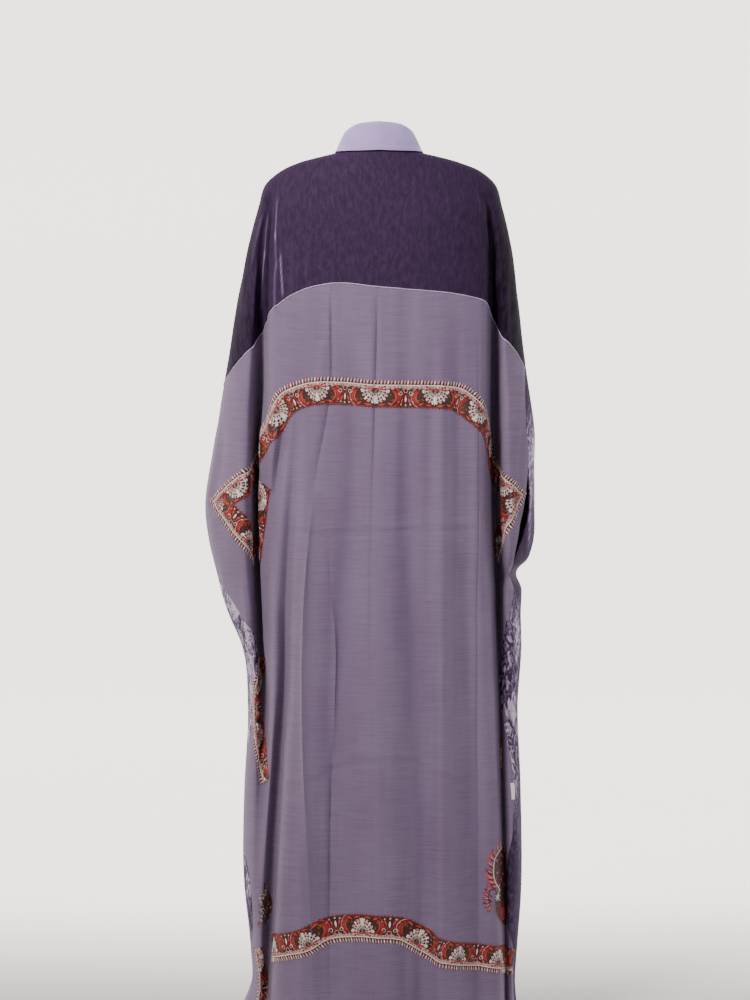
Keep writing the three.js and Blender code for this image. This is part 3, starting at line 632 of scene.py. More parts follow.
def stitched_thread():
    """Rayon embroidery floss in satin stitch: a soft gloss, with a ridge for each laid thread across the stroke and
    painted shade in the grooves between them.
    The threads are 0.4 mm wide, drawn 0.8 mm wide."""
    material, tree, shader, cloth = new_material("rayon embroidery floss", {
        "Roughness": 0.5, "IOR": 1.5, "Specular IOR Level": 0.35, "Sheen Weight": 0.05})
    thread = add(tree, "Attribute", attribute_name="thread")
    ridge = add(tree, "TexWave", {"Vector": cloth, "Scale": 390.0, "Distortion": 2.0, "Detail": 2.0}).outputs["Fac"]
    # painted shade: the floss darker in the grooves between its laid threads
    tone = add(tree, "ValToRGB", {"Fac": ridge}, [(0.0, "#b9b2b2"), (0.6, "#ffffff")])
    colour = add(tree, "Mix", {0: 0.7, 6: thread, 7: tone}, data_type="RGBA", blend_type="MULTIPLY")
    dress(tree, shader, colour.outputs[2], ridge, 0.5, 0.0004)
    return material


def label_satin():
    """White woven satin label tape, blank: a slight gloss and fine ribs 0.5 mm apart, with painted shade between
    them.
    """
    material, tree, shader, cloth = new_material("white satin label tape", {
        "Roughness": 0.45, "IOR": 1.5, "Specular IOR Level": 0.4})
    ribs = add(tree, "TexWave", {"Vector": cloth, "Scale": 600.0}, bands_direction="Y").outputs["Fac"]
    # painted shade: the tape darker between its ribs
    colour = add(tree, "ValToRGB", {"Fac": ribs}, [(0.0, "#d8d5cf"), (1.0, "#efece7")])
    dress(tree, shader, colour.outputs["Color"], ribs, 0.2, 0.0002)
    return material


def painted_seam_highlight():
    """A painted highlight along the yoke seam, where the edge there catches the light: a thin pale lilac line with
    fine oblique stripes 1.6 mm apart."""
    material, tree, shader, cloth = new_material("pale lilac painted seam highlight", {
        "Roughness": 0.7, "IOR": 1.5, "Specular IOR Level": 0.3, "Sheen Weight": 0.2})
    wave = add(tree, "TexWave", {"Vector": cloth, "Scale": 200.0}).outputs["Fac"]
    colour = add(tree, "ValToRGB", {"Fac": wave}, [(0.0, "#8f7fa0"), (0.6, "#c9bcd6")])
    dress(tree, shader, colour.outputs["Color"])
    return material


MATERIALS = {
    "wool": shawl_wool(), "velvet": pile_velvet(), "collar": collar_cotton(), "thread": stitched_thread(),
    "label": label_satin(), "edge": painted_seam_highlight(),
}

# Painted highlights where folds in the velvet catch the light, and painted shade where the strength is below nothing:
# the ends of each line, strength and half width
PAINTED_FOLD_LIGHT = table(("round0", "drop0", "round1", "drop1", "strength", "half"), [
    (184, 128, 181, 196, 0.6, 1.9), (182, 176, 174, 234, 0.5, 1.9), (178, 218, 175, 300, 0.5, 1.9),
    (169, 200, 160, 272, 0.75, 2.0), (204, 130, 208, 340, -0.4, 7), (190, 150, 189, 330, -0.25, 4),
    (-206, 140, -214, 330, -0.45, 7), (-226, 200, -232, 330, -0.3, 5), (-221, 236, -225, 300, 0.4, 1.9),
    (211, 156, 217, 226, 0.6, 2.2), (215, 206, 234, 304, 0.65, 2.2),
    (221, 160, 248, 244, 0.5, 2.2), (235, 226, 264, 326, 0.42, 2.4), (258, 250, 284, 330, 0.25, 3),
    (-192, 140, -197, 204, 0.32, 2.2), (-178, 112, -181, 152, 0.28, 2.6), (-233, 226, -235, 292, 0.42, 3.4),
    (-246, 280, -252, 330, 0.26, 3), (-262, 262, -284, 350, 0.2, 4), (120, 190, 121, 236, 0.16, 3),
    (146, 180, 147, 252, 0.12, 4), (92, 206, 93, 230, 0.1, 4), (-120, 150, -124, 230, 0.08, 5),
    (-392, 470, -398, 560, 0.5, 3), (-392, 540, -378, 672, 0.6, 6), (-352, 740, -338, 850, 0.6, 3),
    (-338, 760, -318, 880, 0.4, 3), (-322, 850, -306, 960, 0.5, 3),
    (400, 720, 384, 800, 0.4, 3), (352, 830, 344, 930, 0.35, 3),
])

# How crushed the velvet lies beside the side seams, with the silvery sheen seen there painted in as well
CRUSH_AND_SHEEN = table(("drop", "left", "right"), [
    (0, 0, 0), (300, 0.05, 0.05), (440, 0.2, 0.55), (490, 0.3, 0.85), (560, 0.3, 0.75), (610, 0.3, 0.35),
    (680, 0.5, 0.2), (730, 0.95, 0.35), (820, 1.0, 0.95), (900, 0.95, 1.0), (1000, 0.85, 0.9), (1060, 0.45, 0.6),
    (1140, 0.5, 0.35), (1200, 0.75, 0.35), (1290, 0.55, 0.3), (1444, 0.4, 0.3),
])


def crush_and_painted_sheen(around, drop):
    """How crushed the pile lies beside each side seam as listed, partly crushed pile and partly painted sheen, less
    by exp(-(distance from it / reach)^2), with scattered low patches of crushed pile over the rest of the fronts."""
    past = past_seam(around, drop)
    listed = np.where(around > 0, curve(CRUSH_AND_SHEEN, "left", drop), curve(CRUSH_AND_SHEEN, "right", drop))
    value = listed * np.exp(-(past / CRUSH_AND_SHEEN_REACH) ** 2)
    patches = hash_noise(around / 70, drop / 180, 21) * hash_noise(around / 28, drop / 70, 22)
    return np.maximum(value, ease(past, -4, 30) * ease(patches, 0.28, 0.6) * 0.34)


def velvet_painted_light_and_crush(around, drop):
    """Painted highlights above nothing where a pressed fold catches the light, as soft bells across the listed lines,
    and broad smooth patches of the crushed pile with its painted sheen; painted shade below nothing towards both
    edges of the yoke, more to the right, and less and less over the shoulder onto the fronts."""
    yoke = (1 - ease(drop, 380, 470)) * (1 - ease(past_seam(around, drop), 10, 130))
    # painted shade: the yoke darker towards both its edges and more on its right side, where less light falls
    dark = 0.42 * ease(around, 196, 268) + 0.2 * ease(-around, 20, 190) + 0.36 * ease(-around, 190, 262)
    smoothed = 0.5 * crush_and_painted_sheen(around, drop) * ease(hash_noise(around / 17, drop / 42, 31), 0.4, 0.75)
    return line_bells(PAINTED_FOLD_LIGHT, around, drop) + smoothed - yoke * dark


def panel(name, columns, top, bottom, rows, thick, material):
    """A panel of cloth: each column runs from its top drop to its bottom drop in even rows."""
    v = np.linspace(0, 1, rows + 1)[:, None]
    drop = top[None] * (1 - v) + bottom[None] * v
    around = read_columns(columns, drop)
    points, normals = on_cloth(around, drop)
    values = None
    if material == "velvet":
        values = {"crush_and_sheen": crush_and_painted_sheen(around, drop), "painted_light_and_crush": velvet_painted_light_and_crush(around, drop)}
    return wall(name, points, normals, thick, np.stack([around, drop], axis=2), MATERIALS[material], values)


BACK_ROWS, YOKE_ROWS, FRONT_ROWS = 240, 84, 250
BACK_COLUMNS = back_columns((27, 54, 54, 36))
YOKE_COLUMNS = back_columns((50, 96, 96, 56))
SEAM_DROPS = column_seams(BACK_COLUMNS)
YOKE_DROPS = column_seams(YOKE_COLUMNS)
hem = np.full(BACK_COLUMNS.shape[1], LENGTH)
back_panel = panel("wool_back_panel", BACK_COLUMNS, SEAM_DROPS + HALF_SEAM, hem, BACK_ROWS, WOOL, "wool")
back_yoke = panel("velvet_yoke", YOKE_COLUMNS, YOKE_DROPS * 0, YOKE_DROPS - HALF_SEAM, YOKE_ROWS, VELVET,
                  "velvet")
fronts = {}
for side in ("left", "right"):
    columns = front_columns(side)
    ends = np.full(columns.shape[1], LENGTH)
    fronts[side] = panel("velvet_front_" + side, columns, ends * 0, ends, FRONT_ROWS, VELVET, "velvet")


def collar_pieces():
    """The stand is a strip up from the neck seam that leans in as it rises. The fall is a strip carried along a
    path over the fold and down to its edge: the path's points are offsets out and up from the neck seam, joined by
    a smooth curve."""
    degrees = np.linspace(-180 + COLLAR_OPEN, 180 - COLLAR_OPEN, 181)
    base = read_line(np.radians(degrees), ANGLE, RAW[0])
    tangent = np.gradient(base, axis=0)
    out = unit(np.stack([-tangent[:, 1], tangent[:, 0], 0 * degrees], axis=1))
    around = np.interp(np.radians(degrees), ANGLE, LENGTHS[0])
    rise, lean, drop, clear = (curve(COLLAR_FORM, key, np.abs(degrees)) for key in ("rise", "lean", "drop", "clear"))
    up = np.array([0, 0, 1.0])
    v = np.linspace(1, 0, 13)[:, None]
    points = base[None] - out[None] * (lean * v)[..., None] + up * (STAND_CLEAR + v * (rise - STAND_CLEAR))[..., None]
    uv = np.stack(np.broadcast_arrays(around[None], (1 - v) * 42), axis=2)
    stand = wall("collar_stand_cloth", points, surface_normals(points), COLLAR, uv, MATERIALS["collar"])
    i0, u = level_place(drop)
    u = u[:, None]
    column = ((np.radians(degrees) + math.pi) / (2 * math.pi) * (ANGLES - 1)).round().astype(int)
    edge = RAW[i0, column] * (1 - u) + RAW[i0 + 1, column] * u + surface_normals(RAW)[i0, column] * clear[:, None]
    rows = [base + out * (off - lean * share)[:, None] + up * (rise * share + high)[:, None]
            for share, off, high in zip(*FALL_PATH.values())]
    rows = np.array(rows + [edge])
    knots = line_length(rows[:, 90])
    fine = np.unique(np.concatenate([np.linspace(0, knots[3], 17), np.linspace(knots[3], knots[-1], 21)]))
    points = np.stack([smooth(knots, flat, fine) for flat in rows.reshape(len(rows), -1).T], axis=1)
    points = points.reshape(len(fine), -1, 3)
    uv = np.stack(np.broadcast_arrays(around[None], fine[:, None]), axis=2)
    fall = wall("collar_fall_cloth", points, surface_normals(points), COLLAR, uv, MATERIALS["collar"])
    return stand, fall, points


collar_stand, collar_fall, fall_points = collar_pieces()


def seam_roll():
    """The roll along the yoke seam, pale as a painted highlight: a ring of eight points carried along the seam,
    narrowed to a tip at both ends."""
    around = np.array([np.interp(d, DROP, YOKE_COLUMNS[:, k]) for k, d in enumerate(YOKE_DROPS)])
    fine = np.linspace(0, len(around) - 1, 900)
    k = np.arange(len(around))
    path, normal = on_cloth(np.interp(fine, k, around), np.interp(fine, k, YOKE_DROPS), 0.1)
    side = unit(np.cross(unit(np.gradient(path, axis=0)), normal))
    turn = np.linspace(0, 2 * math.pi, 8, endpoint=False)
    shape = np.cos(turn)[None, :, None] * normal[:, None] + np.sin(turn)[None, :, None] * side[:, None]
    reach = np.full(len(path), 0.85)
    reach[[0, -1]] = 0.05
    verts = (path[:, None] + shape * reach[:, None, None]).reshape(-1, 3)
    i, k = np.meshgrid(np.arange(len(path) - 1), np.arange(8), indexing="ij")
    a, b = (i * 8 + k).ravel(), (i * 8 + (k + 1) % 8).ravel()
    uv = np.stack(np.broadcast_arrays(line_length(path)[:, None], turn[None]), axis=2).reshape(-1, 2) * MM
    return make_piece("yoke_seam_roll", verts, np.stack([a, b, b + 8, a + 8], axis=1), uv,
                      material=MATERIALS["edge"])


yoke_roll = seam_roll()

THREADS = {name: linear(code) for name, code in {
    "ground": "#431e1b", "umber": "#57331f", "cream": "#dccfc3", "white": "#f4eee6", "grey": "#8f8a7e",
    "coral": "#cf4530", "rose": "#c93f52", "red": "#9c2226", "maroon": "#5e1820", "pink": "#d8a09b",
    "gold": "#86713c", "brick": "#7b2d27", "dark": "#1c1311", "blush": "#cfb0ab",
}.items()}


class Stitches:
    """Points, faces, colours by face and UVs by point, gathered one strip after another."""

    def __init__(self):
        self.points, self.faces, self.colours, self.uvs, self.count = [], [], [], [], 0

    def put(self, points, faces, colour, uvs):
        """Add a strip, with one colour for it or one for each face."""
        self.points.append(points)
        self.faces.append(faces + self.count)
        self.colours.append(np.broadcast_to(colour, (len(faces), 4)))
        self.uvs.append(uvs)
        self.count += len(points)

    def joined(self):
        """Points, faces, colours and UVs of all the strips together."""
        return [np.concatenate(part) for part in (self.points, self.faces, self.colours, self.uvs)]

    def make(self, name):
        """One mesh of all the strips."""
        points, faces, colours, uvs = self.joined()
        return make_piece(name, points, faces, uvs * MM, colours, MATERIALS["thread"], sharp=80)


class Chart(Stitches):
    """Stitches drawn on a flat chart, in millimetres. On the border p runs along it and q across it from its outer
    edge; on a single motif p points to the garment's left and q down."""

    def stroke(self, p, q, wide, colour, lift=0.5, crown=0.35):
        """A ribbon along a line: its edges lie half a width to each side, and its middle stands up by crown."""
        p, q = np.asarray(p, float), np.asarray(q, float)
        wide = np.broadcast_to(np.asarray(wide, float), p.shape)
        tangent = unit(np.stack([np.gradient(p), np.gradient(q)], axis=1))
        side = np.stack([-tangent[:, 1], tangent[:, 0]], axis=1) * (wide / 2)[:, None]
        middle = np.stack([p, q], axis=1)
        rows = np.stack([middle - side, middle, middle + side], axis=1)
        heights = np.broadcast_to(np.array([lift - 0.25, lift + crown, lift - 0.25]), rows.shape[:2])
        points = np.concatenate([rows, heights[..., None]], axis=2).reshape(-1, 3)
        uv = np.stack(np.broadcast_arrays(line_length(middle)[:, None],
                                          np.array([-1.0, 0, 1])[None] * wide[:, None] / 2), axis=2)
        self.put(points, grid_quads(len(p), 3)[:, ::-1], THREADS[colour], uv.reshape(-1, 2))

    def arc(self, p, q, radius, start, end, wide, colour, lift=0.5, squash=1.0, n=9, taper=False):
        """Part of a circle or oval round a centre, angles in degrees from +p towards +q."""
        a = np.radians(np.linspace(start, end, n))
        width = wide * (np.sin(np.linspace(0.2, math.pi - 0.2, n)) if taper else 1)
        self.stroke(p + radius * np.cos(a), q + radius * squash * np.sin(a), width, colour, lift)

    def leaf(self, p, q, angle, long, wide, colour, lift=0.6, bend=0.0, n=6):
        """A leaf from its root: width follows a half sine, and the middle line bends to one side."""
        u = np.linspace(0, 1, n)
        a = np.radians(angle + bend * u)
        width = np.maximum(wide * np.sin(math.pi * np.clip(u * 0.92 + 0.04, 0, 1)), 0.25)
        self.stroke(p + long * u * np.cos(a), q + long * u * np.sin(a), width, colour, lift)

    def dot(self, p, q, radius, colour, lift=0.8):
        """A round stitch: a leaf as wide as it is long."""
        self.leaf(p - radius, q, 0, 2 * radius, 2 * radius, colour, lift, n=4)

    def spiral(self, p, q, radius, start, turns, wide, colour, lift=0.55, way=1, n=12):
        """A scroll whose radius shrinks evenly as it turns."""
        u = np.linspace(0, 1, n)
        a = np.radians(start) + way * 2 * math.pi * turns * u
        r = radius * (1 - 0.8 * u)
        self.stroke(p + r * np.cos(a), q + r * np.sin(a), wide * (1 - 0.4 * u), colour, lift)

    def field(self, edge_p, edge_q, far, colour):
        """Laid ground between an edge and a far limit: one strip across from each point of the edge, a little
        wider than the distance to the next."""
        for x, y, gap, end in zip(edge_p, edge_q, np.abs(np.gradient(edge_q)), np.broadcast_to(far, edge_p.shape)):
            across = np.linspace(x, end, int(abs(end - x) / 4) + 3)
            self.stroke(across, across * 0 + y, gap * 1.25, colour, 0.4, 0.05)

    def fan(self, p, q, way, wide, tall):
        """Half of a fan flower, opening to one side of its foot: pale petals with white veins from 96 to 188
        degrees, dark spots between them, pink and white scallops at their tips, and a coral leaf under it."""
        for n, a in enumerate(np.linspace(96, 188, 6)):
            cos, sin = math.cos(math.radians(a)) * way, math.sin(math.radians(a))
            angle = a if way > 0 else 180 - a
            reach = math.hypot(wide * cos, tall * sin)
            self.leaf(p + 0.26 * wide * cos, q + 0.26 * tall * sin, angle, 0.62 * reach, 5.2,
                      ("blush", "pink", "cream", "grey")[n % 4], 0.7)
            self.leaf(p + 0.4 * wide * cos, q + 0.4 * tall * sin, angle, 0.4 * reach, 1.5, "white", 1.05, n=4)
            self.dot(p + 0.93 * wide * cos, q + 0.93 * tall * sin, 2.1, "pink" if n % 2 else "white", 0.9)
            turn = math.radians(a + 9)
            cos, sin = math.cos(turn) * way, math.sin(turn)
            self.dot(p + 0.7 * wide * cos, q + 0.7 * tall * sin, 1.7, "dark" if n % 2 else "maroon", 1.1)
            self.dot(p + 0.44 * wide * cos, q + 0.44 * tall * sin, 1.3, "dark", 1.1)
        turn = np.radians(np.linspace(90, 194, 11))
        cos, sin = np.cos(turn) * way, np.sin(turn)
        self.stroke(p + 0.82 * wide * cos, q + 0.82 * tall * sin, 1.1, "white", 0.95)
        self.stroke(p + 0.28 * wide * cos, q + 0.28 * tall * sin, 1.6, "grey", 1.0)
        self.leaf(p - 1 * way, q - 0.5, 180 if way > 0 else 0, wide * 0.9, 4.4, "rose", 1.0)
        self.leaf(p - 4 * way, q - 2.0, 180 if way > 0 else 0, wide * 0.6, 2.0, "coral", 1.1, n=4)


def border_chart():
    """One repeat of the border, 99 mm long. Slanting picot drops stand along the outer edge on a maroon line, then
    come a white line and a speckled pale band; inside, on a dark red ground, a pair of half fans with a white drop
    between them is held by two hooked coral leaves, and between the pairs lie two small scrolls under a drop; a
    brick line ends it."""
    c = Chart()
    line = np.linspace(0, REPEAT, 34)
    c.stroke(line, line * 0 + 9.4, 4.2, "maroon", 0.35, 0.1)
    for n in range(18):
        p = (n + 0.5) * REPEAT / 18
        c.leaf(p, 10.8, -74, 7.6, 2.4, ("white", "pink", "cream", "blush")[n % 4], 0.8, n=5)
        c.leaf(p + 2.7, 10.6, -84, 7.2, 2.2, ("maroon", "umber", "red")[n % 3], 0.5, n=4)
    c.stroke(line, line * 0 + 14.6, 4.6, "blush", 0.42, 0.1)
    for n in range(33):
        p = (n + 0.5) * 3
        c.leaf(p - 1, 12.9, 55, 3.6, 1.2, ("rose", "grey", "white", "maroon", "grey")[n % 5], 0.7, n=3)
        c.leaf(p - 1, 16.6, -60, 2.6, 1.2, ("coral", "white", "maroon", "pink")[n % 4], 0.7, n=3)
    c.stroke(line, line * 0 + 12.1, 1.5, "white", 0.85)
    for q in (19.2, 25.4, 31.6, 37.8, 43.6):
        c.stroke(line, line * 0 + q, 6.8, "ground", 0.36, 0.05)
    for n in range(40):
        p, q = (n * 0.3819 % 1) * REPEAT, 18 + (n * 0.618 % 1) * 27
        c.leaf(p, q, 40 + 73 * n, 5.2, 2.2, ("umber", "red", "maroon", "gold", "brick", "rose")[n % 6], 0.5, n=3)
    for n in range(11):
        c.leaf((n + 0.2) * 9, 18.4, 20 if n % 2 else -12, 7, 2.6, ("pink", "coral", "grey", "rose")[n % 4], 0.6, n=4)
    middle = 49.5
    for way in (1, -1):
        edge = "coral" if way < 0 else "pink"
        c.fan(middle - 1.4 * way, 19.0, way, 20.5, 22.5)
        for radius, wide, colour, lift in ((15.0, 5.2, "coral", 0.85), (15.4, 1.3, "maroon", 1.35),
                                           (18.9, 2.2, "red", 0.8), (21.2, 1.2, edge, 0.9)):
            c.arc(middle - 19 * way, 31.0, radius, 90 + way * 30, 90 + way * 152, wide, colour, lift, squash=0.86,
                  n=11, taper=wide > 2)
        c.leaf(middle - 29 * way, 43.4, 0 if way > 0 else 180, 10, 3.6, "coral", 1.0, bend=-20 * way, n=5)
        c.spiral(middle - 27 * way, 37.0, 3.0, 90, 0.9, 1.4, "gold", 1.05, way=way, n=9)
        c.leaf(middle - 4 * way, 44.0, 180 if way > 0 else 0, 12, 2.8, "coral", 1.0, bend=8 * way, n=5)
        c.dot(middle - 21 * way, 21.0, 1.9, "white", 1.25)
        c.spiral(8.6 * way, 24.2, 4.2, 90 - 90 * way, 1.0, 1.6, "cream", 0.95, way=way)
        c.dot(8.2 * way, 24.2, 1.5, "dark", 1.1)
        c.arc(8.6 * way, 24.0, 6.6, 90 - way * 60, 90 + way * 96, 2.0, "red", 0.85, n=8)
        c.dot(8.0 * way, 42.6, 1.5, "cream", 1.0)
        c.dot(12.5 * way, 38.5, 1.2, "pink", 1.0)
        c.leaf(4.6 * way, 32, 90 - 20 * way, 10, 3.2, "rose" if way > 0 else "coral", 0.85, n=5)
    c.leaf(middle, 43.0, -90, 15.0, 4.0, "white", 1.35)
    c.leaf(middle, 28.5, -90, 10.5, 3.0, "grey", 1.2)
    c.leaf(middle, 27.0, -90, 8.0, 1.1, "dark", 1.45, n=4)
    c.leaf(0, 39.5, -90, 11.0, 3.2, "white", 1.1)
    c.dot(0, 43.4, 1.5, "cream", 1.0)
    c.arc(0, 20.2, 3.6, 0, 360, 1.3, "pink", 1.0, n=9)
    c.dot(0, 20.2, 2.0, "maroon", 1.1)
    c.stroke(line, line * 0 + 46.4, 1.8, "brick", 0.55)
    for n in range(18):
        c.leaf((n + 0.5) * 5.5, 45.8, 90, 3.4, 2.6, "red" if n % 2 else "maroon", 0.4, n=3)
    return c


def feather(chart, p, q):
    """A feather leaf on a bent stalk: coral leaflets with pink ribs fanned out on its outer side, from steeply up to
    steeply down, and three short maroon ones on its inner side."""
    stalk = np.array([[-18, 4], [-9, -2], [-2, 1], [0, 9], [-1, 18], [-4, 26.0]]) + [p, q]
    chart.stroke(stalk[:, 0], stalk[:, 1], 2.0, "maroon", 0.9)
    for n in range(7):
        x, y = np.interp(2 + n * 0.5, np.arange(6), stalk[:, 0]), np.interp(2 + n * 0.5, np.arange(6), stalk[:, 1])
        chart.leaf(x, y, -62 + 22 * n, 11.5, 4.2, "maroon", 0.6, bend=-10, n=5)
        chart.leaf(x, y, -62 + 22 * n, 10.5, 3.0, ("coral", "red", "rose")[n % 3], 0.9, bend=-10, n=5)
        chart.leaf(x, y, -62 + 22 * n, 6.5, 1.3, "pink", 1.2, bend=-10, n=4)
    for n in range(3):
        chart.leaf(p - 2, q + 8 + 7 * n, 150 - 20 * n, 7, 3.2, "maroon" if n % 2 else "red", 0.8, n=4)


def paisley_chart():
    """The paisley by the right edge: a sickle of cream cord with coral leaves on its outer side and a dark spotted
    field within, a white star below it, a feather leaf beside the star and a lobed coral bud in its rounded foot.
    p and q are counted from 210 mm round to the right and 1150 mm down."""
    c = Chart()
    cord_p = np.array([-31, -14, 0, 6, 8, 6, 0, -13.0])
    cord_q = np.array([0, 3, 9, 18, 34, 46, 56, 67.0])
    u, fine = np.linspace(0, 1, 8), np.linspace(0, 1, 24)
    p, q = smooth(u, cord_p, fine), smooth(u, cord_q, fine)
    c.field(p[4:] - 1, q[4:], -54, "ground")
    foot = np.linspace(70, 126, 20)
    c.field(np.where(foot < 84, 3, 5 - 38 * ((foot - 84) / 42) ** 3), foot, -54, "ground")
    c.stroke(5 - 38 * ((foot[5:] - 84) / 42) ** 3, foot[5:], 1.6, "gold", 0.9)
    for n in range(9):
        k = 2.0 + n * 2.3
        x, y = np.interp(k, np.arange(24), p), np.interp(k, np.arange(24), q)
        angle = -74 + 62 * math.sin(n / 8 * math.pi / 2) + 2 * n
        c.leaf(x + 1, y, angle, 17 - 0.4 * abs(n - 5), 6.0, ("coral", "rose", "red")[n % 3], 0.8, bend=-14)
        c.leaf(x + 2, y, angle, 11, 1.8, "pink", 1.2, bend=-14, n=4)
        c.leaf(x + 1, y + 3.0, angle + 8, 11, 1.6, "maroon", 1.0, bend=-14, n=4)
    c.stroke(p, q, 2.4, "cream", 1.1)
    for n in range(48):
        k, row = 4 + (n % 8) * 2.3, n // 8
        x, y = np.interp(k, np.arange(24), p) - 6 - 8 * row, np.interp(k, np.arange(24), q) + (row % 2) * 2
        c.leaf(x, y, (10, 170, 100)[n % 3], 6.0, 2.2, ("rose", "umber", "pink", "dark", "red")[n % 5], 0.75, n=4)
    for n in range(8):
        ray = n * 45 + 10
        c.leaf(-1, 76, ray, 12 if 100 < ray < 280 else 6.4, 1.8, "white" if n % 2 else "cream", 1.2, n=5)
    c.dot(-1, 76, 2.0, "white", 1.5)
    feather(c, 18, 63)
    for n in range(10):
        c.leaf(-8 - 7 * (n % 5), 88 + 5 * (n // 5) + n, 70 + 10 * (n % 3), 9, 3.4,
               ("red", "brick", "maroon")[n % 3], 0.7, n=4)
    for n in range(4):
        c.arc(-27 - n, 104 + 5.0 * n, 15 - n, 195, 345, 3.2, "coral" if n % 2 else "rose", 0.95, squash=0.3, n=9,
              taper=True)
    return c


def dark_paisley_chart():
    """The small paisley by the left edge: a dark rounded field about 75 mm long with cream and red seed stitches
    in slanting rows and a hooked top."""
    c = Chart()
    q = np.linspace(3, 72, 26)
    half = np.sin(math.pi * (q - 1) / 75)
    c.field(9 * half + 2 * np.sin(q / 3), q, -17 * half, "umber")
    for n in range(44):
        row, place = n // 4, n % 4
        reach = 14 * math.sin(math.pi * (row + 1.2) / 13.4)
        x = (place - 1.5) / 1.5 * reach + (1.8 if row % 2 else -1.8)
        c.leaf(x, 6 + row * 6.0, 60 + 20 * place, 5.0, 2.0,
               ("cream", "maroon", "grey", "red", "cream")[n % 5], 0.8, n=4)
    for n in range(5):
        c.spiral(12 - 5 * (n % 2), 8 + 13 * n, 5, 60 * n, 0.8, 1.3, "cream" if n % 2 else "grey", 0.95, n=9)
    c.leaf(14, 66, 40, 8, 5, "red", 0.9)
    return c


BAND = border_chart().joined()


class Border(Stitches):
    """Stitched pieces laid on the cloth, gathered from several runs of the border or single motifs."""

    def lay(self, place, heights, faces, colours, uvs, turned=False):
        """Set charted stitches down at distances round and drops; turned ones get their faces the other way up."""
        self.put(on_cloth(*place.T, heights)[0], faces[:, ::-1] if turned else faces, colours, uvs)

    def run(self, line, inward, start=0.0, wide=BAND_WIDE, mitres=(None, None), squeeze=1.0):
        """A run of the border along a smooth line of distances round and drops: p is the length along the line,
        times the squeeze where small gathers take cloth up, q is measured square to it on the inward side, and a
        mitre angle cuts an end on the slant."""
        rows = np.array(line, float)
        knots = line_length(rows)
        fine = np.linspace(0, knots[-1], max(8, int(knots[-1] / 2)))
        path = np.stack([smooth(knots, column, fine) for column in rows.T], axis=1)
        length = line_length(path)
        tangent = unit(np.gradient(path, axis=0))
        side = inward * np.stack([-tangent[:, 1], tangent[:, 0]], axis=1)
        points, faces, colours, uvs = BAND
        total = length[-1]
        q = points[:, 1] * wide / BAND_WIDE
        low, high = (0 if m is None else q / math.tan(math.radians(m)) for m in mitres)
        for n in range(math.floor(start / REPEAT), math.ceil((start + total) / REPEAT / squeeze) + 1):
            p = (points[:, 0] + n * REPEAT) * squeeze - start
            keep = ((p > low) & (p < total - high))[faces].any(axis=1)
            if not keep.any():
                continue
            p = np.clip(p, low, total - high)
            place = read_line(p, length, path) + read_line(p, length, side) * q[:, None]
            used, index = np.unique(faces[keep], return_inverse=True)
            self.lay(place[used], points[used, 2], index.reshape(-1, 4), colours[keep], uvs[used], inward < 0)

    def motif(self, chart, around, drop):
        """A single motif set down on the cloth."""
        points, faces, colours, uvs = chart.joined()
        self.lay(points[:, :2] + [around, drop], points[:, 2], faces, colours, uvs)


top_border = Border()
top_border.run([(261, 480), (232, 457), (200, 434), (165, 396), (147, 388), (122, 380), (64, 376), (7, 380),
                (-51, 381), (-100, 383), (-144, 390), (-170, 407), (-198, 428), (-225, 449), (-255, 480)], -1, 55)
top_border.run([(261, 480), (292, 497), (363, 536), (432, 580)], 1, 30, mitres=(None, 40))
top_border.run([(432, 580), (380, 628), (351, 657), (310, 692)], 1, 26, mitres=(40, None))
top_border.run([(-255, 480), (-262, 503), (-285, 512), (-330, 539.4), (-374, 567)], -1, 55, mitres=(None, 44.6))
top_border.run([(-374, 567), (-350, 604), (-318, 650), (-283, 690)], -1, 20, mitres=(44.6, None))
top_border.run([(240, 545), (264, 612), (280, 668)], 1, 24)

low_border = Border()
low_border.run([(210, 1339), (190, 1335), (150, 1325), (112, 1314), (84, 1299), (57, 1294), (6, 1292), (-28, 1295),
                (-58, 1311), (-85, 1327), (-119, 1337), (-180, 1348), (-272, 1364)], 1, 17.6, squeeze=0.84)

side_border = Border()
side_border.run([(303, 838), (312, 909), (297, 967), (272, 1016), (257, 1048)], 1, 10, 34)
side_border.run([(272, 1318), (262, 1359), (262, 1440)], 1, 34, 30)
side_border.run([(-264, 968), (-262, 1022)], -1, 10, 14)

motifs = Border()
motifs.motif(paisley_chart(), -210, 1150)
motifs.motif(dark_paisley_chart(), 235, 1204)

stitched = [border.make("embroidered_" + name) for name, border in (
    ("top_border", top_border), ("low_border", low_border), ("side_border", side_border), ("paisleys", motifs))]


def stitch_rows():
    """Short raised stitches 2.2 mm long and 3.2 mm apart, in rows along the fold and the edge of the collar fall."""
    stitches = Stitches()
    normals = surface_normals(fall_points)
    u = np.linspace(0, 2.2, 4)
    uv = np.stack(np.broadcast_arrays(u[:, None], np.array([-0.3, 0, 0.3])), axis=2).reshape(-1, 2)
    lift = (0.12 + 0.34 * np.sin(np.linspace(0, math.pi, 4)))[None, :, None]
    for row in (11, 14, fall_points.shape[0] - 4):
        length = line_length(fall_points[row])
        at = np.arange(4, length[-1] - 6, 3.2)[:, None] + u[None]
        middle, out = read_line(at, length, fall_points[row]), read_line(at, length, normals[row])
        side = unit(np.cross(unit(np.gradient(middle, axis=1)), out)) * 0.36
        strip = np.stack([middle + side + out * 0.02, middle + out * lift, middle - side + out * 0.02], axis=2)
        first = (np.arange(len(at)) * len(uv))[:, None, None]
        stitches.put(strip.reshape(-1, 3), (grid_quads(4, 3)[None, :, ::-1] + first).reshape(-1, 4),
                     linear("#d5c8e4"), np.tile(uv, (len(at), 1)))
    return stitches.make("collar_topstitching")


collar_stitches = stitch_rows()


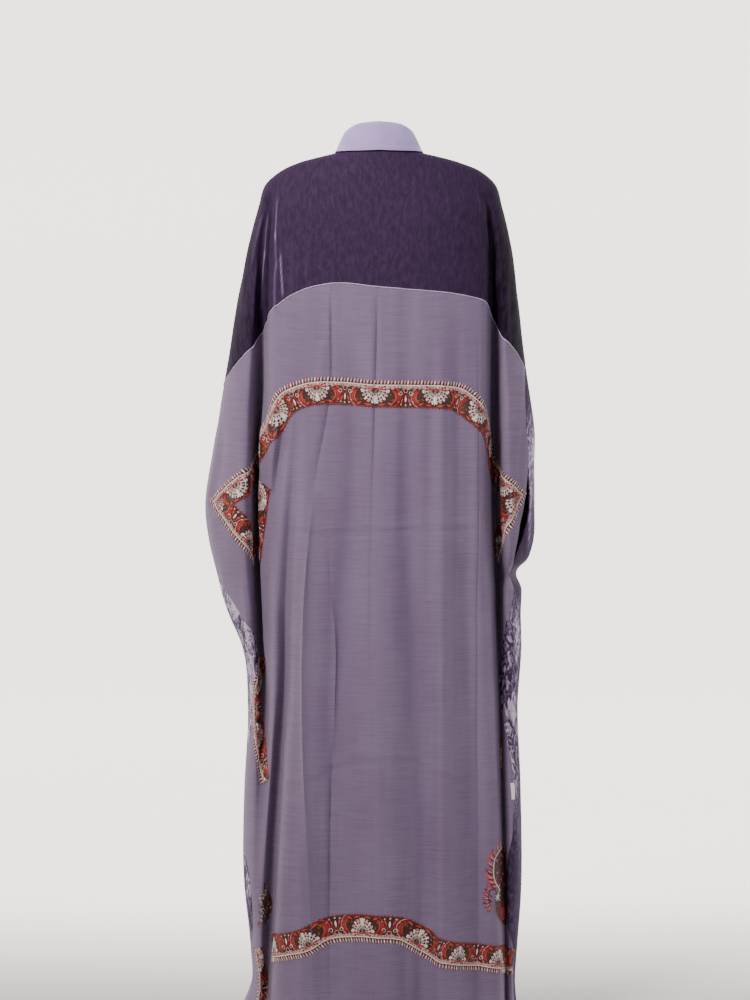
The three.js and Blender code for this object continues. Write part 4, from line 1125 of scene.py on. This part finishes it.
def care_tab():
    """The blank label caught in the right side seam: a strip that stands off the cloth a little more towards its
    free edge, with the square of the distance, and curls with a half sine down its length."""
    v = np.linspace(0, 1, 19)[:, None]
    u = np.linspace(-1, 0, 9)[None]
    around = -283.4 + 4.6 * u + 0 * v
    drop = 1044.0 + 27 * v + 0 * u
    lift = 1.5 + 1.1 * u * u + 0.5 * np.sin(math.pi * v) * u * u
    points, normals = on_cloth(around, drop, lift)
    return wall("care_label_tape", points, normals, 0.6, np.stack([around, drop], axis=2), MATERIALS["label"])


care_label = care_tab()

PIECES = {
    back_yoke: ("back_yoke", "velvet"), back_panel: ("back_panel", "wool"),
    fronts["left"]: ("front_left", "velvet"), fronts["right"]: ("front_right", "velvet"),
    collar_stand: ("collar_stand", "collar_cotton"), collar_fall: ("collar_fall", "collar_cotton"),
    care_label: ("care_label", "label_satin"), yoke_roll: (None, "wool"), collar_stitches: (None, "collar_cotton"),
}
for piece in stitched:
    PIECES[piece] = (None, "wool")
for piece, (node, slot) in PIECES.items():
    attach(piece, "root")
    if node:
        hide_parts(node)

for side in ("left", "right"):
    columns = front_columns(side)
    ends = np.full(columns.shape[1], LENGTH)


def studio():
    """A pale paper floor that curves up into a pale round wall on three sides and glows as lit paper does on the
    side that the back is seen against, a soft light from high before the back and to its left, a weaker one from
    the right, two lights on the far wall, and the camera at the photograph's angle. The paper is a profile turned
    round the upright axis: a flat floor, a quarter circle and a straight wall. On the open side it all lies at
    floor level."""
    floor_z, wall_radius, bend_radius, wall_top, sectors = -1.462, 6.5, 2.0, 5.0, 96
    turn = np.linspace(0, math.pi / 2, 24)
    radius = np.concatenate([np.linspace(0.02, wall_radius - bend_radius, 16),
                             wall_radius - bend_radius + bend_radius * np.sin(turn[1:]), np.full(4, wall_radius)])
    height = np.concatenate([np.full(16, floor_z), floor_z + bend_radius * (1 - np.cos(turn[1:])),
                             np.linspace(floor_z + bend_radius + 0.5, wall_top, 4)])
    bearing = np.linspace(0, 2 * math.pi, sectors + 1)
    open_from = 0.42  # sine of the bearing past which the wall is left out
    open_side = np.sin(bearing) > open_from
    points = np.stack([radius[:, None] * np.cos(bearing), radius[:, None] * np.sin(bearing),
                       np.where(open_side, floor_z, height[:, None])], axis=2)
    backdrop = make_piece("studio_backdrop", points.reshape(-1, 3) / MM, grid_quads(len(radius), sectors + 1))
    material, tree, shader, _ = new_material("matt pale paper backdrop", {
        "Base Color": linear("#c4c1bc"), "Roughness": 0.9, "Specular IOR Level": 0.15,
        "Emission Color": linear("#fbf8f4")})
    place = add(tree, "SeparateXYZ", {"Vector": add(tree, "TexCoord").outputs["Object"]})
    glow = add(tree, "MapRange", {"Value": place.outputs["Y"], "From Min": 0.1, "From Max": -1.3, "To Min": 0.0,
                                  "To Max": 2.3}, interpolation_type="SMOOTHSTEP")
    tree.links.new(glow.outputs["Result"], shader.inputs["Emission Strength"])
    backdrop.data.materials.append(material)

    camera = bpy.data.cameras.new("camera")
    camera.lens, camera.sensor_width, camera.shift_y, camera.clip_end = 86.2, 36, -0.0602, 50
    holder = bpy.data.objects.new("camera", camera)
    holder.location = (0.0067, 4.0, -0.48)
    holder.rotation_euler = (math.radians(90), 0, math.radians(180))
    bpy.context.scene.collection.objects.link(holder)
    bpy.context.scene.camera = holder

    for name, place, aim, size, power, spread, code in (
            ("key softbox", (1.6, 2.1, 1.9), (0, 0, -0.34), 1.0, 17.5, 52, "#fffaf6"),
            ("fill softbox", (-2.6, 2.8, 1.2), (0, 0, -0.2), 1.8, 58, 180, "#f4f0ff"),
            ("wall light left", (2.4, -0.5, 1.3), (2.2, -6.0, 0.0), 1.6, 60, 180, "#ffffff"),
            ("wall light right", (-2.4, -0.5, 1.3), (-2.2, -6.0, 0.0), 1.6, 18, 180, "#ffedd8")):
        light = bpy.data.lights.new(name, "AREA")
        light.shape, light.size, light.size_y = "RECTANGLE", size, size * 1.3
        light.energy, light.spread = power, math.radians(spread)
        light.color = linear(code)[:3]
        lamp = bpy.data.objects.new(name, light)
        direction = np.array(aim, float) - np.array(place, float)
        lamp.location = place
        lamp.rotation_euler = (math.pi / 2 + math.atan2(direction[2], math.hypot(direction[0], direction[1])), 0,
                               math.atan2(direction[1], direction[0]) - math.pi / 2)
        bpy.context.scene.collection.objects.link(lamp)
    world = bpy.data.worlds.new("studio")
    world.use_nodes = True
    bpy.context.scene.world = world
    world.node_tree.nodes["Background"].inputs["Color"].default_value = linear("#f2f0ee")
    world.node_tree.nodes["Background"].inputs["Strength"].default_value = 0.18


studio()
